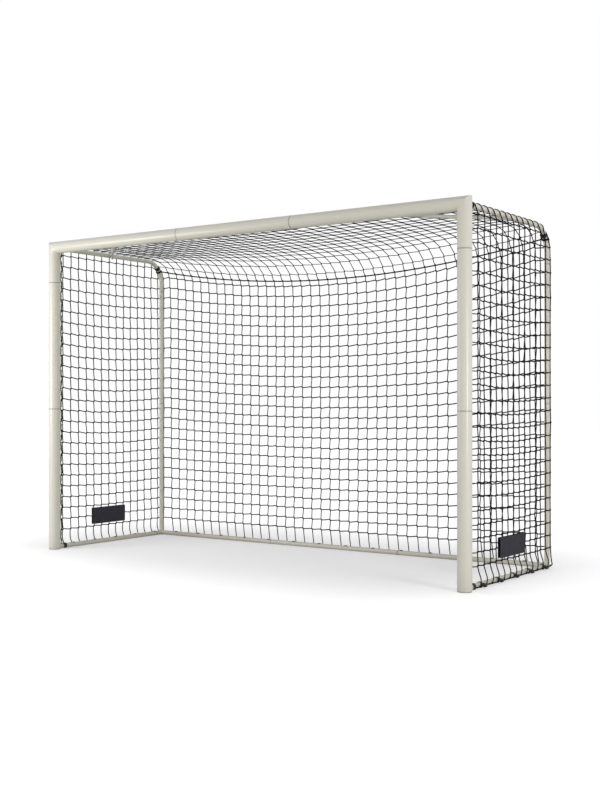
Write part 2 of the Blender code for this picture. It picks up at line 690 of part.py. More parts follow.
def labels(fabric):
    """Bare woven labels on the side nets, one inside and one outside."""
    offsets = {"left": -1.0, "right": 1.0}
    for side, sign in SIDES:
        stand_off = offsets[side] * (STRAND_R + CLEARANCE + LABEL_THICKNESS / 2)
        x = sign * (X_NET + stand_off)
        centre = Vector((x, Y_FRONT + LABEL_FROM_POST, LABEL_CENTRE_HEIGHT))
        scale = Matrix.Diagonal((LABEL_THICKNESS, LABEL_LENGTH, LABEL_HEIGHT, 1.0))
        bm = bmesh.new()
        bmesh.ops.create_cube(bm, size=1.0, matrix=Matrix.Translation(centre) @ scale)
        part(f"label_{side}", mesh_from(bm, f"label_{side}"), fabric)


def build():
    """Make every piece of the goal."""
    clear_scene()
    new_collection(PARTS)
    new_collection(TOOLS)
    paint = new_material("cream_powder_coat", (0.60, 0.585, 0.50), 0.42, 0.0)
    metal = new_material("plain_aluminium", (0.62, 0.63, 0.64), 0.35, 1.0)
    steel = new_material("zinc_plated_steel", (0.45, 0.46, 0.47), 0.4, 1.0)
    plug = new_material("cream_plastic", (0.56, 0.545, 0.47), 0.5, 0.0)
    plastic = new_material("black_plastic", (0.02, 0.02, 0.021), 0.5, 0.0)
    cord = new_material("black_cord", (0.018, 0.018, 0.02), 0.85, 0.0)
    fabric = new_material("charcoal_label", (0.03, 0.032, 0.036), 0.8, 0.0)
    frame = front_frame(paint)
    sleeves = front_sleeves(metal)
    joint_screws(frame, sleeves, steel)
    foot_plugs(plug)
    rear = rear_frame(paint)
    pole_screws(rear, joiners(steel), steel)
    braces(rear, paint, steel)
    nets(cord)
    ropes(cord)
    rings_and_clips(plastic)
    labels(fabric)


build()
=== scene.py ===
"""Looks of the portable soccer goal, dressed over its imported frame.

The painted tubes, the knotted net, the ropes, the clips and the labels are new surfaces, worked
out as whole arrays. Inner sleeves and joiners stay as the frame gives them, with their own metal.
All sizes are metres in the frame's axes: X along the crossbar, Y from the mouth to the back.
"""
import logging
import math
from collections.abc import Sequence
from dataclasses import dataclass, field
from enum import Enum

import bpy
import numpy as np
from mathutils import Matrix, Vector


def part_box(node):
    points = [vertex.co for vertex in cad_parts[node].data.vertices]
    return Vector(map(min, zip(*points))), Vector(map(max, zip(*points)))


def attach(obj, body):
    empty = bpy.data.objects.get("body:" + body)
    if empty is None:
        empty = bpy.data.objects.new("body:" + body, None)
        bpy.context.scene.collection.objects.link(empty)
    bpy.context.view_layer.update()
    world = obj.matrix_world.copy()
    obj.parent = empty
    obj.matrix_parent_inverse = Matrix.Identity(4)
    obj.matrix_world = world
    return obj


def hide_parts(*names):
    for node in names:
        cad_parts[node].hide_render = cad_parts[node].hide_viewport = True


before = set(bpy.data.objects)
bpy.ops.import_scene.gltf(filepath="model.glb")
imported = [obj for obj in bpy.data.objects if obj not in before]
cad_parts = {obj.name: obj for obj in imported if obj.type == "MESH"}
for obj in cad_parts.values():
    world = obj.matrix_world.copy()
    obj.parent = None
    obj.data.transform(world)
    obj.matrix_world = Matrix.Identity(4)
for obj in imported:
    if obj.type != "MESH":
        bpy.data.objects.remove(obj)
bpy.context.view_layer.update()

LOG = logging.getLogger("soccer_goal")
BODY = "root"
SEED = 11
CREASE = 35.0
CORD_CREASE = 78.0
TURN = 2 * np.pi
WHITE = (1.0, 1.0, 1.0)
Array = np.ndarray
Pair = tuple[float, float]
Triple = tuple[float, float, float]
Socket = bpy.types.NodeSocket
Value = float | Socket
Tint = Triple | Socket
ACROSS, BACK, UP = np.eye(3)


class Side(Enum):
    """The two ends of the goal, with the sign of their X."""

    LEFT = -1.0
    RIGHT = 1.0

    @property
    def word(self) -> str:
        """The side's word in the names of pieces."""
        return self.name.lower()

    @property
    def out(self) -> Array:
        """The direction away from the goal's middle."""
        return self.value * ACROSS


class Slot(Enum):
    """The record's material slots."""

    FRONT = "front_frame"
    REAR = "rear_frame"
    SCREWS = "screws"
    PLUGS = "foot_plugs"
    CORD = "net_cord"
    ROPE = "rope"
    CLIPS = "clips"
    LABELS = "labels"


# Arrays and surfaces


def unit(vectors: Array) -> Array:
    """Scale the vectors on the last axis to length one."""
    return vectors / np.maximum(np.linalg.norm(vectors, axis=-1, keepdims=True), 1e-12)


def square_to(wanted: Array, axis: Array) -> Array:
    """Unit directions nearest to the wanted ones and square to unit axes: w - a (w . a), scaled."""
    return unit(wanted - axis * np.sum(wanted * axis, axis=-1, keepdims=True))


def spread(*parts: Array | float) -> Array:
    """Numbers and arrays, spread to one shape and laid side by side on a new last axis."""
    return np.stack(np.broadcast_arrays(*parts), axis=-1)


def distance_along(paths: Array) -> Array:
    """Distance of every station from the start of its path."""
    step = np.linalg.norm(np.diff(paths, axis=-2), axis=-1)
    return np.concatenate([np.zeros_like(step[..., :1]), np.cumsum(step, axis=-1)], axis=-1)


@dataclass
class Skin:
    """Points, faces and loop UVs of a surface, before it becomes a mesh."""

    points: Array
    faces: list[Array]
    uvs: list[Array]

    @staticmethod
    def joined(skins: Sequence["Skin"]) -> "Skin":
        """One surface with all the points and faces of several."""
        starts = np.cumsum([0] + [len(skin.points) for skin in skins])
        return Skin(np.concatenate([skin.points for skin in skins]),
                    [block + start for skin, start in zip(skins, starts) for block in skin.faces],
                    [uv for skin in skins for uv in skin.uvs])


def lattice(rings: Array, closed: bool = False) -> Skin:
    """Skin over rings of points: quads from ring to ring, and a fan over each open end.

    Args:
        rings: points shaped tubes by rings by sides by 3. Each ring turns the way a right-hand
            screw does when it is driven along the tube, so the faces look outward.
        closed: whether the last ring joins the first one and no end is open.

    Returns:
        The closed surface, with U along each tube in metres and V once round it.
    """
    count, _, sides, _ = rings.shape
    index = np.arange(rings.size // 3).reshape(rings.shape[:3])
    along = distance_along(rings.mean(axis=2))
    if closed:
        index, along = (np.concatenate([part, part[:, end]], axis=1)
                        for part, end in ((index, slice(1)), (along, slice(-1, None))))
    turned = np.roll(index, -1, axis=2)
    quads = spread(index[:, :-1], turned[:, :-1], turned[:, 1:], index[:, 1:]).reshape(-1, 4)
    low, high, v = along[:, :-1, None], along[:, 1:, None], np.arange(sides) / sides
    uv = np.stack([spread(low, v), spread(low, v + 1 / sides), spread(high, v + 1 / sides),
                   spread(high, v)], axis=-2).reshape(-1, 4, 2)
    points = rings.reshape(-1, 3)
    if closed:
        return Skin(points, [quads], [uv])
    hub = len(points) + np.arange(2 * count).reshape(2, count, 1)
    fans = np.concatenate([spread(hub[0], turned[:, 0], index[:, 0]),
                           spread(hub[1], index[:, -1], turned[:, -1])]).reshape(-1, 3)
    hubs = np.concatenate([rings[:, 0].mean(axis=1), rings[:, -1].mean(axis=1)])
    ends = np.concatenate([along[:, 0], along[:, -1]]).repeat(sides)[:, None]
    return Skin(np.concatenate([points, hubs]), [quads, fans],
                [uv, spread(ends, np.array([0.5, 0.0, 1.0]))])


def ring_skin(centres: Array, first: Array, second: Array, radii: Array, sides: int,
              closed: bool = False) -> Skin:
    """Round tubes, ring by ring: centre + radius * (first * cos(angle) + second * sin(angle)).

    Args:
        centres: shaped tubes by rings by 3.
        first: direction of angle zero, at all rings or at each.
        second: direction of a quarter turn.
        radii: shaped tubes by rings by 1, or by sides.
        sides: points on a ring.
        closed: whether the last ring joins the first one.

    Returns:
        The surface.
    """
    angle = (TURN * np.arange(sides) / sides)[:, None]
    around = first[..., None, :] * np.cos(angle) + second[..., None, :] * np.sin(angle)
    return lattice(centres[..., None, :] + radii[..., None] * around, closed)


def cords(paths: Array, reference: Array, radius: float | Array, sides: int) -> Skin:
    """Round cords along many paths at once.

    Args:
        paths: centre points, shaped paths by stations by 3.
        reference: a direction that is never along the paths, for all stations or each.
        radius: their radius, for all stations or each.
        sides: points on a ring.

    Returns:
        The closed cords.
    """
    tangent = unit(np.gradient(paths, axis=1))
    first = square_to(np.broadcast_to(reference, paths.shape), tangent)
    radii = np.broadcast_to(radius, paths.shape[:2])[..., None]
    return ring_skin(paths, first, np.cross(tangent, first), radii, sides)


def turned_skin(profile: Array, centre: Array, axis: Array, side: Array, steps: int,
                squash: float | Array = 1.0) -> Skin:
    """Turn a profile of (radius, height) pairs about an axis.

    Args:
        profile: radius and height of each station, from the lower end up.
        centre: where height zero lies.
        axis: unit direction of height.
        side: unit direction of angle zero.
        steps: points round the axis.
        squash: factor on the radius, for all stations and steps or each.

    Returns:
        The closed surface.
    """
    centres = centre + profile[:, 1:] * axis
    return ring_skin(centres[None], side, np.cross(axis, side), (profile[:, :1] * squash)[None],
                     steps)


def rounded_section(width: float, height: float, radius: float) -> Array:
    """Closed rounded rectangle about the origin, counterclockwise.

    Args:
        width: size along the first axis.
        height: size along the second axis.
        radius: corner radius.

    Returns:
        Section points, shaped n by 2.
    """
    angle = (np.arange(4)[:, None] + np.linspace(0, 1, 4)) * np.pi / 2
    corners = np.array([(1, 1), (-1, 1), (-1, -1), (1, -1)])
    middle = corners * (np.array([width, height]) / 2 - radius)
    return (middle[:, None] + radius * spread(np.cos(angle), np.sin(angle))).reshape(-1, 2)


def linked(name: str, data: bpy.types.ID) -> bpy.types.Object:
    """Make an object and link it to the scene.

    Args:
        name: the object's name.
        data: its data.

    Returns:
        The object.
    """
    thing = bpy.data.objects.new(name, data)
    bpy.context.scene.collection.objects.link(thing)
    return thing


def make_piece(name: str, skin: Skin, material: bpy.types.Material,
               replaces: Sequence[str] = (), crease: float = CREASE) -> bpy.types.Object:
    """Make one finished piece of the goal, smooth with sharp creases, that rides on the frame.

    Args:
        name: the piece's name.
        skin: its surface.
        material: its finish.
        replaces: the frame's nodes that it stands for.
        crease: angle in degrees past which an edge is sharp.

    Returns:
        The new object.
    """
    mesh = bpy.data.meshes.new(name)
    corners = np.concatenate([block.ravel() for block in skin.faces])
    totals = np.concatenate([np.full(len(block), block.shape[1]) for block in skin.faces])
    mesh.vertices.add(len(skin.points))
    mesh.vertices.foreach_set("co", skin.points.astype(np.float32).ravel())
    mesh.loops.add(len(corners))
    mesh.loops.foreach_set("vertex_index", corners.astype(np.int32))
    mesh.polygons.add(len(totals))
    mesh.polygons.foreach_set("loop_start", (np.cumsum(totals) - totals).astype(np.int32))
    mesh.polygons.foreach_set("loop_total", totals.astype(np.int32))
    uv = np.concatenate([block.ravel() for block in skin.uvs])
    mesh.uv_layers.new(name="length").data.foreach_set("uv", uv.astype(np.float32))
    mesh.update(calc_edges=True)
    mesh.validate()
    mesh.shade_smooth()
    mesh.set_sharp_from_angle(angle=math.radians(crease))
    mesh.materials.append(material)
    piece = linked(name, mesh)
    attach(piece, BODY)
    if replaces:
        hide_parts(*replaces)
    LOG.info("%s: %d points, %d faces", name, len(mesh.vertices), len(mesh.polygons))
    return piece


# Finishes


@dataclass
class Graph:
    """A node tree with short ways to add and join nodes."""

    tree: bpy.types.NodeTree

    def fill(self, node: bpy.types.Node, inputs: dict) -> None:
        """Set or join a node's input sockets.

        Args:
            node: the node.
            inputs: numbers, colours or output sockets, by the input's name or number.
        """
        for key, value in inputs.items():
            socket = node.inputs[key]
            if isinstance(value, Socket):
                self.tree.links.new(value, socket)
            else:
                socket.default_value = (*value, 1.0) if socket.type == "RGBA" else value

    def add(self, kind: str, inputs: dict | None = None, **settings: object) -> bpy.types.Node:
        """Add a node.

        Args:
            kind: the node's class name without its ShaderNode prefix.
            inputs: what goes into its input sockets.
            settings: attributes of the node.

        Returns:
            The node.
        """
        node = self.tree.nodes.new("ShaderNode" + kind)
        for key, value in settings.items():
            setattr(node, key, value)
        self.fill(node, inputs or {})
        return node

    def math(self, operation: str, *values: Value) -> Socket:
        """Output of a Math node with this operation on these values."""
        return self.add("Math", dict(enumerate(values)), operation=operation).outputs[0]

    def mix(self, share: Value, low: Tint, high: Tint) -> Socket:
        """Mix of two colours, with this share of the second one."""
        return self.add("Mix", {"Factor": share, 6: low, 7: high}, data_type="RGBA").outputs[2]

    def bump(self, height: Value, strength: float, depth: float) -> Socket:
        """Normal of a surface with this relief."""
        inputs = {"Strength": strength, "Distance": depth, "Height": height}
        return self.add("Bump", inputs).outputs["Normal"]

    def shared(self, tree: bpy.types.NodeTree, inputs: dict) -> bpy.types.bpy_prop_collection:
        """Outputs of a shared group with these inputs."""
        return self.add("Group", inputs, node_tree=tree).outputs


class SharedGroup:
    """A shader node group that works on a place and named numbers, and gives named numbers."""

    def __init__(self, name: str, numbers: dict[str, float], results: Sequence[str]) -> None:
        """Make the empty group.

        Args:
            name: the group's name.
            numbers: default of each number, by name.
            results: names of what it gives.
        """
        self.tree = bpy.data.node_groups.new(name, "ShaderNodeTree")
        interface = self.tree.interface
        interface.new_socket("Vector", in_out="INPUT", socket_type="NodeSocketVector")
        for label, default in numbers.items():
            socket = interface.new_socket(label, in_out="INPUT", socket_type="NodeSocketFloat")
            socket.default_value = default
        for label in results:
            interface.new_socket(label, in_out="OUTPUT", socket_type="NodeSocketFloat")
        self.graph = Graph(self.tree)
        self.given = self.tree.nodes.new("NodeGroupInput").outputs
        self.sink = self.tree.nodes.new("NodeGroupOutput")

    def noise(self, scale: Value, detail: float, roughness: float = 0.5) -> Socket:
        """Noise at the group's place."""
        return self.graph.add("TexNoise", {"Vector": self.given["Vector"], "Scale": scale,
                                           "Detail": detail, "Roughness": roughness}).outputs["Fac"]

    def give(self, **results: Socket) -> bpy.types.NodeTree:
        """Join sockets to the group's results by name, and hand over its tree."""
        self.graph.fill(self.sink, results)
        return self.tree


class Effects:
    """The shared node groups, built once for all finishes."""

    def __init__(self) -> None:
        """Build every group."""
        self.build_grain()
        self.build_dust()
        self.build_braid()

    def build_grain(self) -> None:
        """Fine bumps of a moulded or sprayed skin, and slow patches of tone."""
        group = SharedGroup("surface_grain", {"Fine scale": 600.0, "Patch scale": 4.0},
                            ("Height", "Patch"))
        self.grain = group.give(Height=group.noise(group.given["Fine scale"], 3.0, 0.55),
                                Patch=group.noise(group.given["Patch scale"], 5.0, 0.6))

    def build_dust(self) -> None:
        """Mask of dust and rubs that fades out above the ground."""
        group = SharedGroup("ground_dust", {"Reach": 0.16}, ("Mask",))
        graph, given = group.graph, group.given
        height = graph.add("SeparateXYZ", {"Vector": given["Vector"]}).outputs["Z"]
        share = graph.math("DIVIDE", height, given["Reach"])
        fade = graph.add("Math", {0: 1.0, 1: share}, operation="SUBTRACT", use_clamp=True)
        fade = graph.math("POWER", fade.outputs[0], 2.2)
        self.dust = group.give(Mask=graph.math("MULTIPLY", fade, group.noise(38.0, 6.0, 0.7)))

    def build_braid(self) -> None:
        """Crossing diagonal strands of a braided cord, on its length and turn, with painted shade
        in its grooves.
        """
        group = SharedGroup("braid", {"Pitch": 0.008, "Strands": 4.0}, ("Height", "Shade"))
        graph, given = group.graph, group.given
        place = graph.add("SeparateXYZ", {"Vector": given["Vector"]}).outputs
        turns = graph.math("DIVIDE", place["X"], given["Pitch"])
        waves = []
        for sign in (1.0, -1.0):
            shifted = graph.math("MULTIPLY_ADD", turns, sign, place["Y"])
            strands = graph.math("MULTIPLY", shifted, given["Strands"])
            waves.append(graph.math("SINE", graph.math("MULTIPLY", strands, TURN)))
        # Shade is painted shade: lighter where the strands cross on top, darker in the grooves
        # between them.
        crossing = graph.math("MAXIMUM", *waves)
        self.braid = group.give(
            Height=graph.math("MULTIPLY_ADD", group.noise(900.0, 2.0), 0.4, crossing),
            Shade=graph.math("MULTIPLY_ADD", crossing, 0.25, 0.5))


class Bench(Graph):
    """A material in the making: its nodes, its coordinates and the shared groups."""

    def __init__(self, name: str, effects: Effects | None = None) -> None:
        """Start a new material with one Principled shader.

        Args:
            name: its name.
            effects: the shared groups, if it uses any.
        """
        self.material = bpy.data.materials.new(name)
        self.material.use_nodes = True
        super().__init__(self.material.node_tree)
        self.effects = effects
        self.coords = self.add("TexCoord").outputs

    def done(self, inputs: dict) -> bpy.types.Material:
        """Fill the shader's inputs and hand over the material."""
        self.fill(self.tree.nodes["Principled BSDF"], inputs)
        return self.material


@dataclass(frozen=True, kw_only=True)
class Finish:
    """A material with plain values, on which a finish of its own kind builds."""

    name: str
    roughness: float
    specular: float = 0.5
    metallic: float = 0.0

    def detail(self, bench: Bench) -> dict[str, Value]:
        """Sockets that change from place to place, by the name of the shader's input."""
        raise NotImplementedError

    def build(self, effects: Effects) -> bpy.types.Material:
        """Make the material, with the shared groups at hand."""
        bench = Bench(self.name, effects)
        return bench.done({"Roughness": self.roughness, "Metallic": self.metallic,
                           "Specular IOR Level": self.specular, **self.detail(bench)})


@dataclass(frozen=True, kw_only=True)
class Grained(Finish):
    """Paint, plastic or metal: fine grain, patches of a second tone, dust and painted seam shade.

    Its roughness is the plain one plus rough_spread * (patch - 1/2), and more where dust lies.
    """

    colour: Triple
    patch: Triple
    fine_scale: float
    patch_scale: float
    rough_spread: float
    strength: float
    depth: float
    dust: Triple | None = None
    dust_reach: float = 0.06
    dust_roughness: float = 0.0
    worn: Triple | None = None

    def detail(self, bench: Bench) -> dict[str, Value]:
        """Tone, roughness and relief of the grain.

        Args:
            bench: the material in the making.

        Returns:
            Sockets by the name of the shader's input.
        """
        place = bench.coords["Object"]
        grain = bench.shared(bench.effects.grain, {"Vector": place, "Fine scale": self.fine_scale,
                                                   "Patch scale": self.patch_scale})
        base = bench.mix(grain["Patch"], self.colour, self.patch)
        rough = bench.math("MULTIPLY_ADD", grain["Patch"], self.rough_spread,
                           self.roughness - self.rough_spread / 2)
        if self.dust:
            mask = bench.shared(bench.effects.dust, {"Vector": place, "Reach": self.dust_reach})
            base = bench.mix(mask["Mask"], base, self.dust)
            rough = bench.math("MULTIPLY_ADD", mask["Mask"], self.dust_roughness, rough)
        # Painted shade: the tone darkens towards each seam between tubes, in place of the gap's
        # shadow.
        if self.worn:
            seam_shading = bench.add("Attribute", attribute_name="painted_seam_shade", attribute_type="GEOMETRY")
            base = bench.mix(seam_shading.outputs["Fac"], base, self.worn)
        return {"Base Color": base, "Roughness": rough,
                "Normal": bench.bump(grain["Height"], self.strength, self.depth)}


@dataclass(frozen=True, kw_only=True)
class Cordage(Finish):
    """Black braided cord or rope whose pattern follows its length, with painted shade in its
    grooves.
    """

    pitch: float
    strands: float
    depth: float
    roughness: float = 0.85
    specular: float = 0.06
    dark: Triple = (0.0050, 0.0051, 0.0060)
    light: Triple = (0.0200, 0.0203, 0.0235)
    dusty: Triple = (0.030, 0.028, 0.026)
    dust_reach: float = 0.10
    strength: float = 0.6

    def detail(self, bench: Bench) -> dict[str, Value]:
        """Tone and relief of the strands.

        Args:
            bench: the material in the making.

        Returns:
            Sockets by the name of the shader's input.
        """
        braid = bench.shared(bench.effects.braid, {"Vector": bench.coords["UV"],
                                                   "Pitch": self.pitch, "Strands": self.strands})
        mask = bench.shared(bench.effects.dust, {"Vector": bench.coords["Object"],
                                                 "Reach": self.dust_reach})["Mask"]
        # The braid's painted shade mixes the dark tone into the grooves and the light tone onto the
        # crests.
        base = bench.mix(mask, bench.mix(braid["Shade"], self.dark, self.light), self.dusty)
        return {"Base Color": base,
                "Normal": bench.bump(braid["Height"], self.strength, self.depth)}


@dataclass(frozen=True, kw_only=True)
class WovenLabel(Finish):
    """Close plain weave of a label tape, on its own flat UV map: sin(u) * sin(v) of its threads."""

    name: str = "woven_label"
    roughness: float = 0.72
    specular: float = 0.15
    warp: float = 620.0
    dark: Triple = (0.022, 0.0222, 0.028)
    light: Triple = (0.042, 0.0425, 0.052)
    weave_shade: float = 0.3
    fine_scale: float = 800.0
    patch_scale: float = 22.0
    strength: float = 0.35
    depth: float = 0.0003

    def detail(self, bench: Bench) -> dict[str, Value]:
        """Tone and relief of the weave, its tone partly painted shade between the threads.

        Args:
            bench: the material in the making.

        Returns:
            Sockets by the name of the shader's input.
        """
        place = bench.add("SeparateXYZ", {"Vector": bench.coords["UV"]}).outputs
        waves = [bench.math("SINE", bench.math("MULTIPLY", place[axis], self.warp * TURN))
                 for axis in ("X", "Y")]
        weave = bench.math("MULTIPLY", *waves)
        grain = bench.shared(bench.effects.grain, {
            "Vector": bench.coords["Object"], "Fine scale": self.fine_scale,
            "Patch scale": self.patch_scale})
        # The weave's share of the tone is painted shade: darker between the threads, lighter on
        # them. The patch share is random tone.
        share = bench.math("MULTIPLY_ADD", weave, self.weave_shade, grain["Patch"])
        return {"Base Color": bench.mix(share, self.dark, self.light),
                "Normal": bench.bump(weave, self.strength, self.depth)}


class Finishes:
    """Every finish of the goal, made once."""

    def __init__(self) -> None:
        """Build the shared groups, then each material."""
        effects = Effects()
        # The powder coat's darkest tone, used at the tube ends, is painted shade at the seams.
        self.paint = Grained(
            name="cream_powder_coat", roughness=0.31, specular=0.36, rough_spread=0.10,
            colour=(0.610, 0.597, 0.512), patch=(0.575, 0.562, 0.480), fine_scale=420.0,
            patch_scale=3.5, strength=0.10, depth=0.0006, dust=(0.430, 0.405, 0.350),
            dust_reach=0.14, dust_roughness=0.35, worn=(0.130, 0.125, 0.110)).build(effects)
        moulded = {"fine_scale": 1500.0, "patch_scale": 30.0, "rough_spread": 0.2,
                   "strength": 0.25, "depth": 0.0003, "specular": 0.3,
                   "dust": (0.060, 0.056, 0.050)}
        self.plug = Grained(name="cream_foot_plastic", roughness=0.5, colour=(0.56, 0.545, 0.47),
                            patch=(0.50, 0.485, 0.42), **moulded).build(effects)
        self.plastic = Grained(name="black_clip_plastic", roughness=0.6,
                               colour=(0.008, 0.008, 0.009), patch=(0.018, 0.018, 0.019),
                               **moulded).build(effects)
        self.net = Cordage(name="black_net_cord", pitch=0.010, strands=3.0,
                           depth=0.0004).build(effects)
        self.rope = Cordage(name="black_braided_rope", pitch=0.018, strands=6.0, depth=0.0009,
                            dark=(0.0034, 0.0035, 0.0041),
                            light=(0.0130, 0.0132, 0.0152)).build(effects)
        metal = {"fine_scale": 900.0, "patch_scale": 60.0, "rough_spread": 0.25,
                 "strength": 0.15, "depth": 0.0002, "metallic": 1.0}
        self.aluminium = Grained(name="plain_aluminium", roughness=0.345,
                                 colour=(0.70, 0.71, 0.72), patch=(0.60, 0.61, 0.62),
                                 **metal).build(effects)
        self.zinc = Grained(name="zinc_plated_steel", roughness=0.385,
                            colour=(0.56, 0.57, 0.58), patch=(0.44, 0.45, 0.46),
                            **metal).build(effects)
        self.label = WovenLabel().build(effects)
        self.stitch = Cordage(name="label_stitching", pitch=0.003, strands=2.0, depth=0.0002,
                              dark=(0.05, 0.05, 0.055), light=(0.10, 0.10, 0.108)).build(effects)


# Places and painted tubes


@dataclass
class Layout:
    """Places of the goal's axes and seams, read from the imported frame."""

    bend_radius: float = 0.150
    seam_gap: float = 0.0008

    def __post_init__(self) -> None:
        """Read every place from the boxes of the frame's nodes."""
        low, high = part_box("crossbar_middle")
        self.y_front, self.z_top = (low.y + high.y) / 2, (low.z + high.z) / 2
        self.x_crossbar_seam = high.x
        low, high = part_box("post_middle_right")
        self.x_post, self.post_r = (low.x + high.x) / 2, (high.x - low.x) / 2
        self.z_post_lower, self.z_post_upper = low.z, high.z
        low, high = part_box("rear_pole_right")
        self.y_rear, self.bar_r = (low.y + high.y) / 2, (high.x - low.x) / 2
        self.z_pole_lower, self.z_pole_upper = low.z, high.z
        self.z_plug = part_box("post_lower_right")[0].z
        self.y_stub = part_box("ground_side_bar_right")[1].y
        self.x_rear_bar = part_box("rear_bar_middle")[1].x

    def at(self, side: Side, y: float | Array, z: float | Array) -> Array:
        """Points in the upright plane of one post and its side bars."""
        return spread(side.value * self.x_post, y, z)

    def bend(self, angle: float | Array, offset: float = 0.0) -> tuple[Array, Array]:
        """Y and Z on a rear bend: an angle past its top, and an offset outside the tube's axis."""
        reach = self.bend_radius + offset
        return (self.y_rear - self.bend_radius + reach * np.sin(angle),
                self.z_top - self.bend_radius + reach * np.cos(angle))


@dataclass(frozen=True)
class Gauge:
    """One size of painted tube."""

    radius: float
    wall: float
    sides: int
    slot: Slot


@dataclass
class TubeFrame:
    """The painted tubes of the front and rear frames."""

    layout: Layout
    finishes: Finishes
    front_wall: float = 0.002
    rear_wall: float = 0.0015
    front_sides: int = 72
    rear_sides: int = 40
    lip: float = 0.0007
    near_end_stations: tuple[float, ...] = (0.0, 0.0016, 0.006, 0.020)
    worn_width: float = 0.0030
    worn_share: float = 0.85
    bend_steps: int = 36
    mitre_set_back: float = 1.5
    butt_depth: float = 0.9
    weld_radius: float = 0.0014
    weld_sides: int = 8
    weld_end: float = 0.12
    ripple: float = 0.18
    ripple_rate: float = 40.0
    brace_r: float = 0.010
    brace_from_post: float = 0.520
    brace_behind: float = 0.547
    brace_drop: float = 0.008
    front_sink: float = 0.0006
    rear_sink: float = 0.0003
    tongue_length: float = 0.060
    tongue_width: float = 0.016
    tongue_thickness: float = 0.003
    tongue_edge: float = 0.0006

    def __post_init__(self) -> None:
        """Work out both tube sizes and the stations near an end."""
        lay = self.layout
        self.near = np.array(self.near_end_stations)[:, None]
        self.butt = lay.y_front + lay.post_r * self.butt_depth
        self.wide = Gauge(lay.post_r, self.front_wall, self.front_sides, Slot.FRONT)
        self.thin = Gauge(lay.bar_r, self.rear_wall, self.rear_sides, Slot.REAR)

    def shares(self, length: float = 1.0) -> Array:
        """Shares of a tube's length where it has stations, close together near both ends."""
        near = self.near / length
        return np.concatenate([near, [[0.5]], 1 - near[::-1]])

    def painted(self, node: str, skin: Skin, ends: Sequence[tuple[Array, Array]]) -> None:
        """Make a painted piece for a frame node, with painted shade darkening it at its seams.

        Args:
            node: the node that it stands for.
            skin: its surface.
            ends: point and direction of each of its seams.
        """
        piece = make_piece(node + "_painted", skin, self.finishes.paint, [node])
        # Painted shade at the seams: a per-point share that darkens the paint close to each seam.
        distance = np.min([np.abs((skin.points - end) @ way) for end, way in ends], axis=0)
        seam_shading = np.clip(1 - distance / self.worn_width, 0, 1) * self.worn_share
        layer = piece.data.attributes.new("painted_seam_shade", "FLOAT", "POINT")
        layer.data.foreach_set("value", seam_shading.astype(np.float32))

    def tube(self, node: str, path: Array, first: Array, gauge: Gauge,
             ends: Sequence[tuple[Array, Array]]) -> None:
        """Make a hollow tube: outer stations, a rounded lip, inner stations and a second lip.

        Args:
            node: the node that it stands for.
            path: stations of the axis, from end to end.
            first: direction of angle zero, at all stations or at each, longer at a mitre.
            gauge: the tube's size.
            ends: point and direction of each of its seams.
        """
        first, tangent = np.broadcast_to(first, path.shape), unit(np.gradient(path, axis=0))
        second = unit(np.cross(tangent, first))
        count = len(path)
        order = np.concatenate([np.arange(count), [-1, -1], np.arange(count - 2, 0, -1), [0, 0]])
        centres = path[order]
        centres[0] += tangent[0] * self.lip
        centres[count - 1] -= tangent[-1] * self.lip
        radii = np.where(np.arange(len(order)) < count, gauge.radius, gauge.radius - gauge.wall)
        radii[[count, -1]] = gauge.radius - self.lip
        skin = ring_skin(centres[None], first[order][None], second[order][None],
                         radii[None, :, None], gauge.sides, closed=True)
        self.painted(node, skin, ends)

    def straight(self, node: str, start: Array, end: Array, gauge: Gauge) -> None:
        """Make one straight tube.

        Args:
            node: the node that it stands for.
            start: one end of its axis.
            end: the other end.
            gauge: the tube's size.
        """
        axis = unit(end - start)
        path = start + self.shares(np.linalg.norm(end - start)) * (end - start)
        self.tube(node, path, UP if abs(axis[2]) < 0.5 else ACROSS, gauge,
                  ((start, axis), (end, axis)))

    def corner(self, side: Side) -> None:
        """Make a mitred top corner: crossbar arm and post arm about a plane at 45 degrees.

        Args:
            side: the goal's end.
        """
        lay, out, near = self.layout, side.out, self.near
        elbow = lay.at(side, lay.y_front, lay.z_top)
        arm = elbow - out * (lay.x_post - lay.x_crossbar_seam)
        drop = elbow - UP * (lay.z_top - lay.z_post_upper)
        back = lay.post_r * self.mitre_set_back
        path = np.concatenate([arm + near * out, [(arm + elbow) / 2, elbow - out * back, elbow,
                                                  elbow - UP * back], drop + near[::-1] * UP])
        first = np.repeat([UP, UP + out, out], [len(near) + 2, 1, len(near) + 1], axis=0)
        self.tube(f"corner_{side.word}", path, first, self.wide, ((arm, ACROSS), (drop, UP)))

    def bent_bar(self, side: Side) -> None:
        """Make a top side bar: straight, then a quarter bend, then a short tail.

        Args:
            side: the goal's end.
        """
        lay = self.layout
        start = lay.at(side, self.butt, lay.z_top)
        arc = lay.at(side, *lay.bend(np.linspace(0, np.pi / 2, self.bend_steps + 1)))
        tail = lay.at(side, lay.y_rear, lay.z_pole_upper)
        path = np.concatenate([start + self.near * BACK, arc, tail + self.near[::-1] * UP])
        self.tube(f"top_side_bar_{side.word}", path, ACROSS, self.thin, ((tail, UP),))

    def solid(self, start: Array, end: Array, side: Array) -> Skin:
        """Thin tube with closed ends and rounded rims.

        Args:
            start: one end of its axis.
            end: the other end.
            side: direction of angle zero.

        Returns:
            The closed surface.
        """
        length, radius, near = np.linalg.norm(end - start), self.layout.bar_r, self.near[1:, 0]
        height = np.concatenate([[0.0, self.lip], near, [length / 2], length - near[::-1],
                                 [length - self.lip, length]])
        radii = np.full(len(height), radius)
        radii[[0, -1]] = radius - self.lip
        return turned_skin(spread(radii, height), start, unit(end - start), side, self.rear_sides)

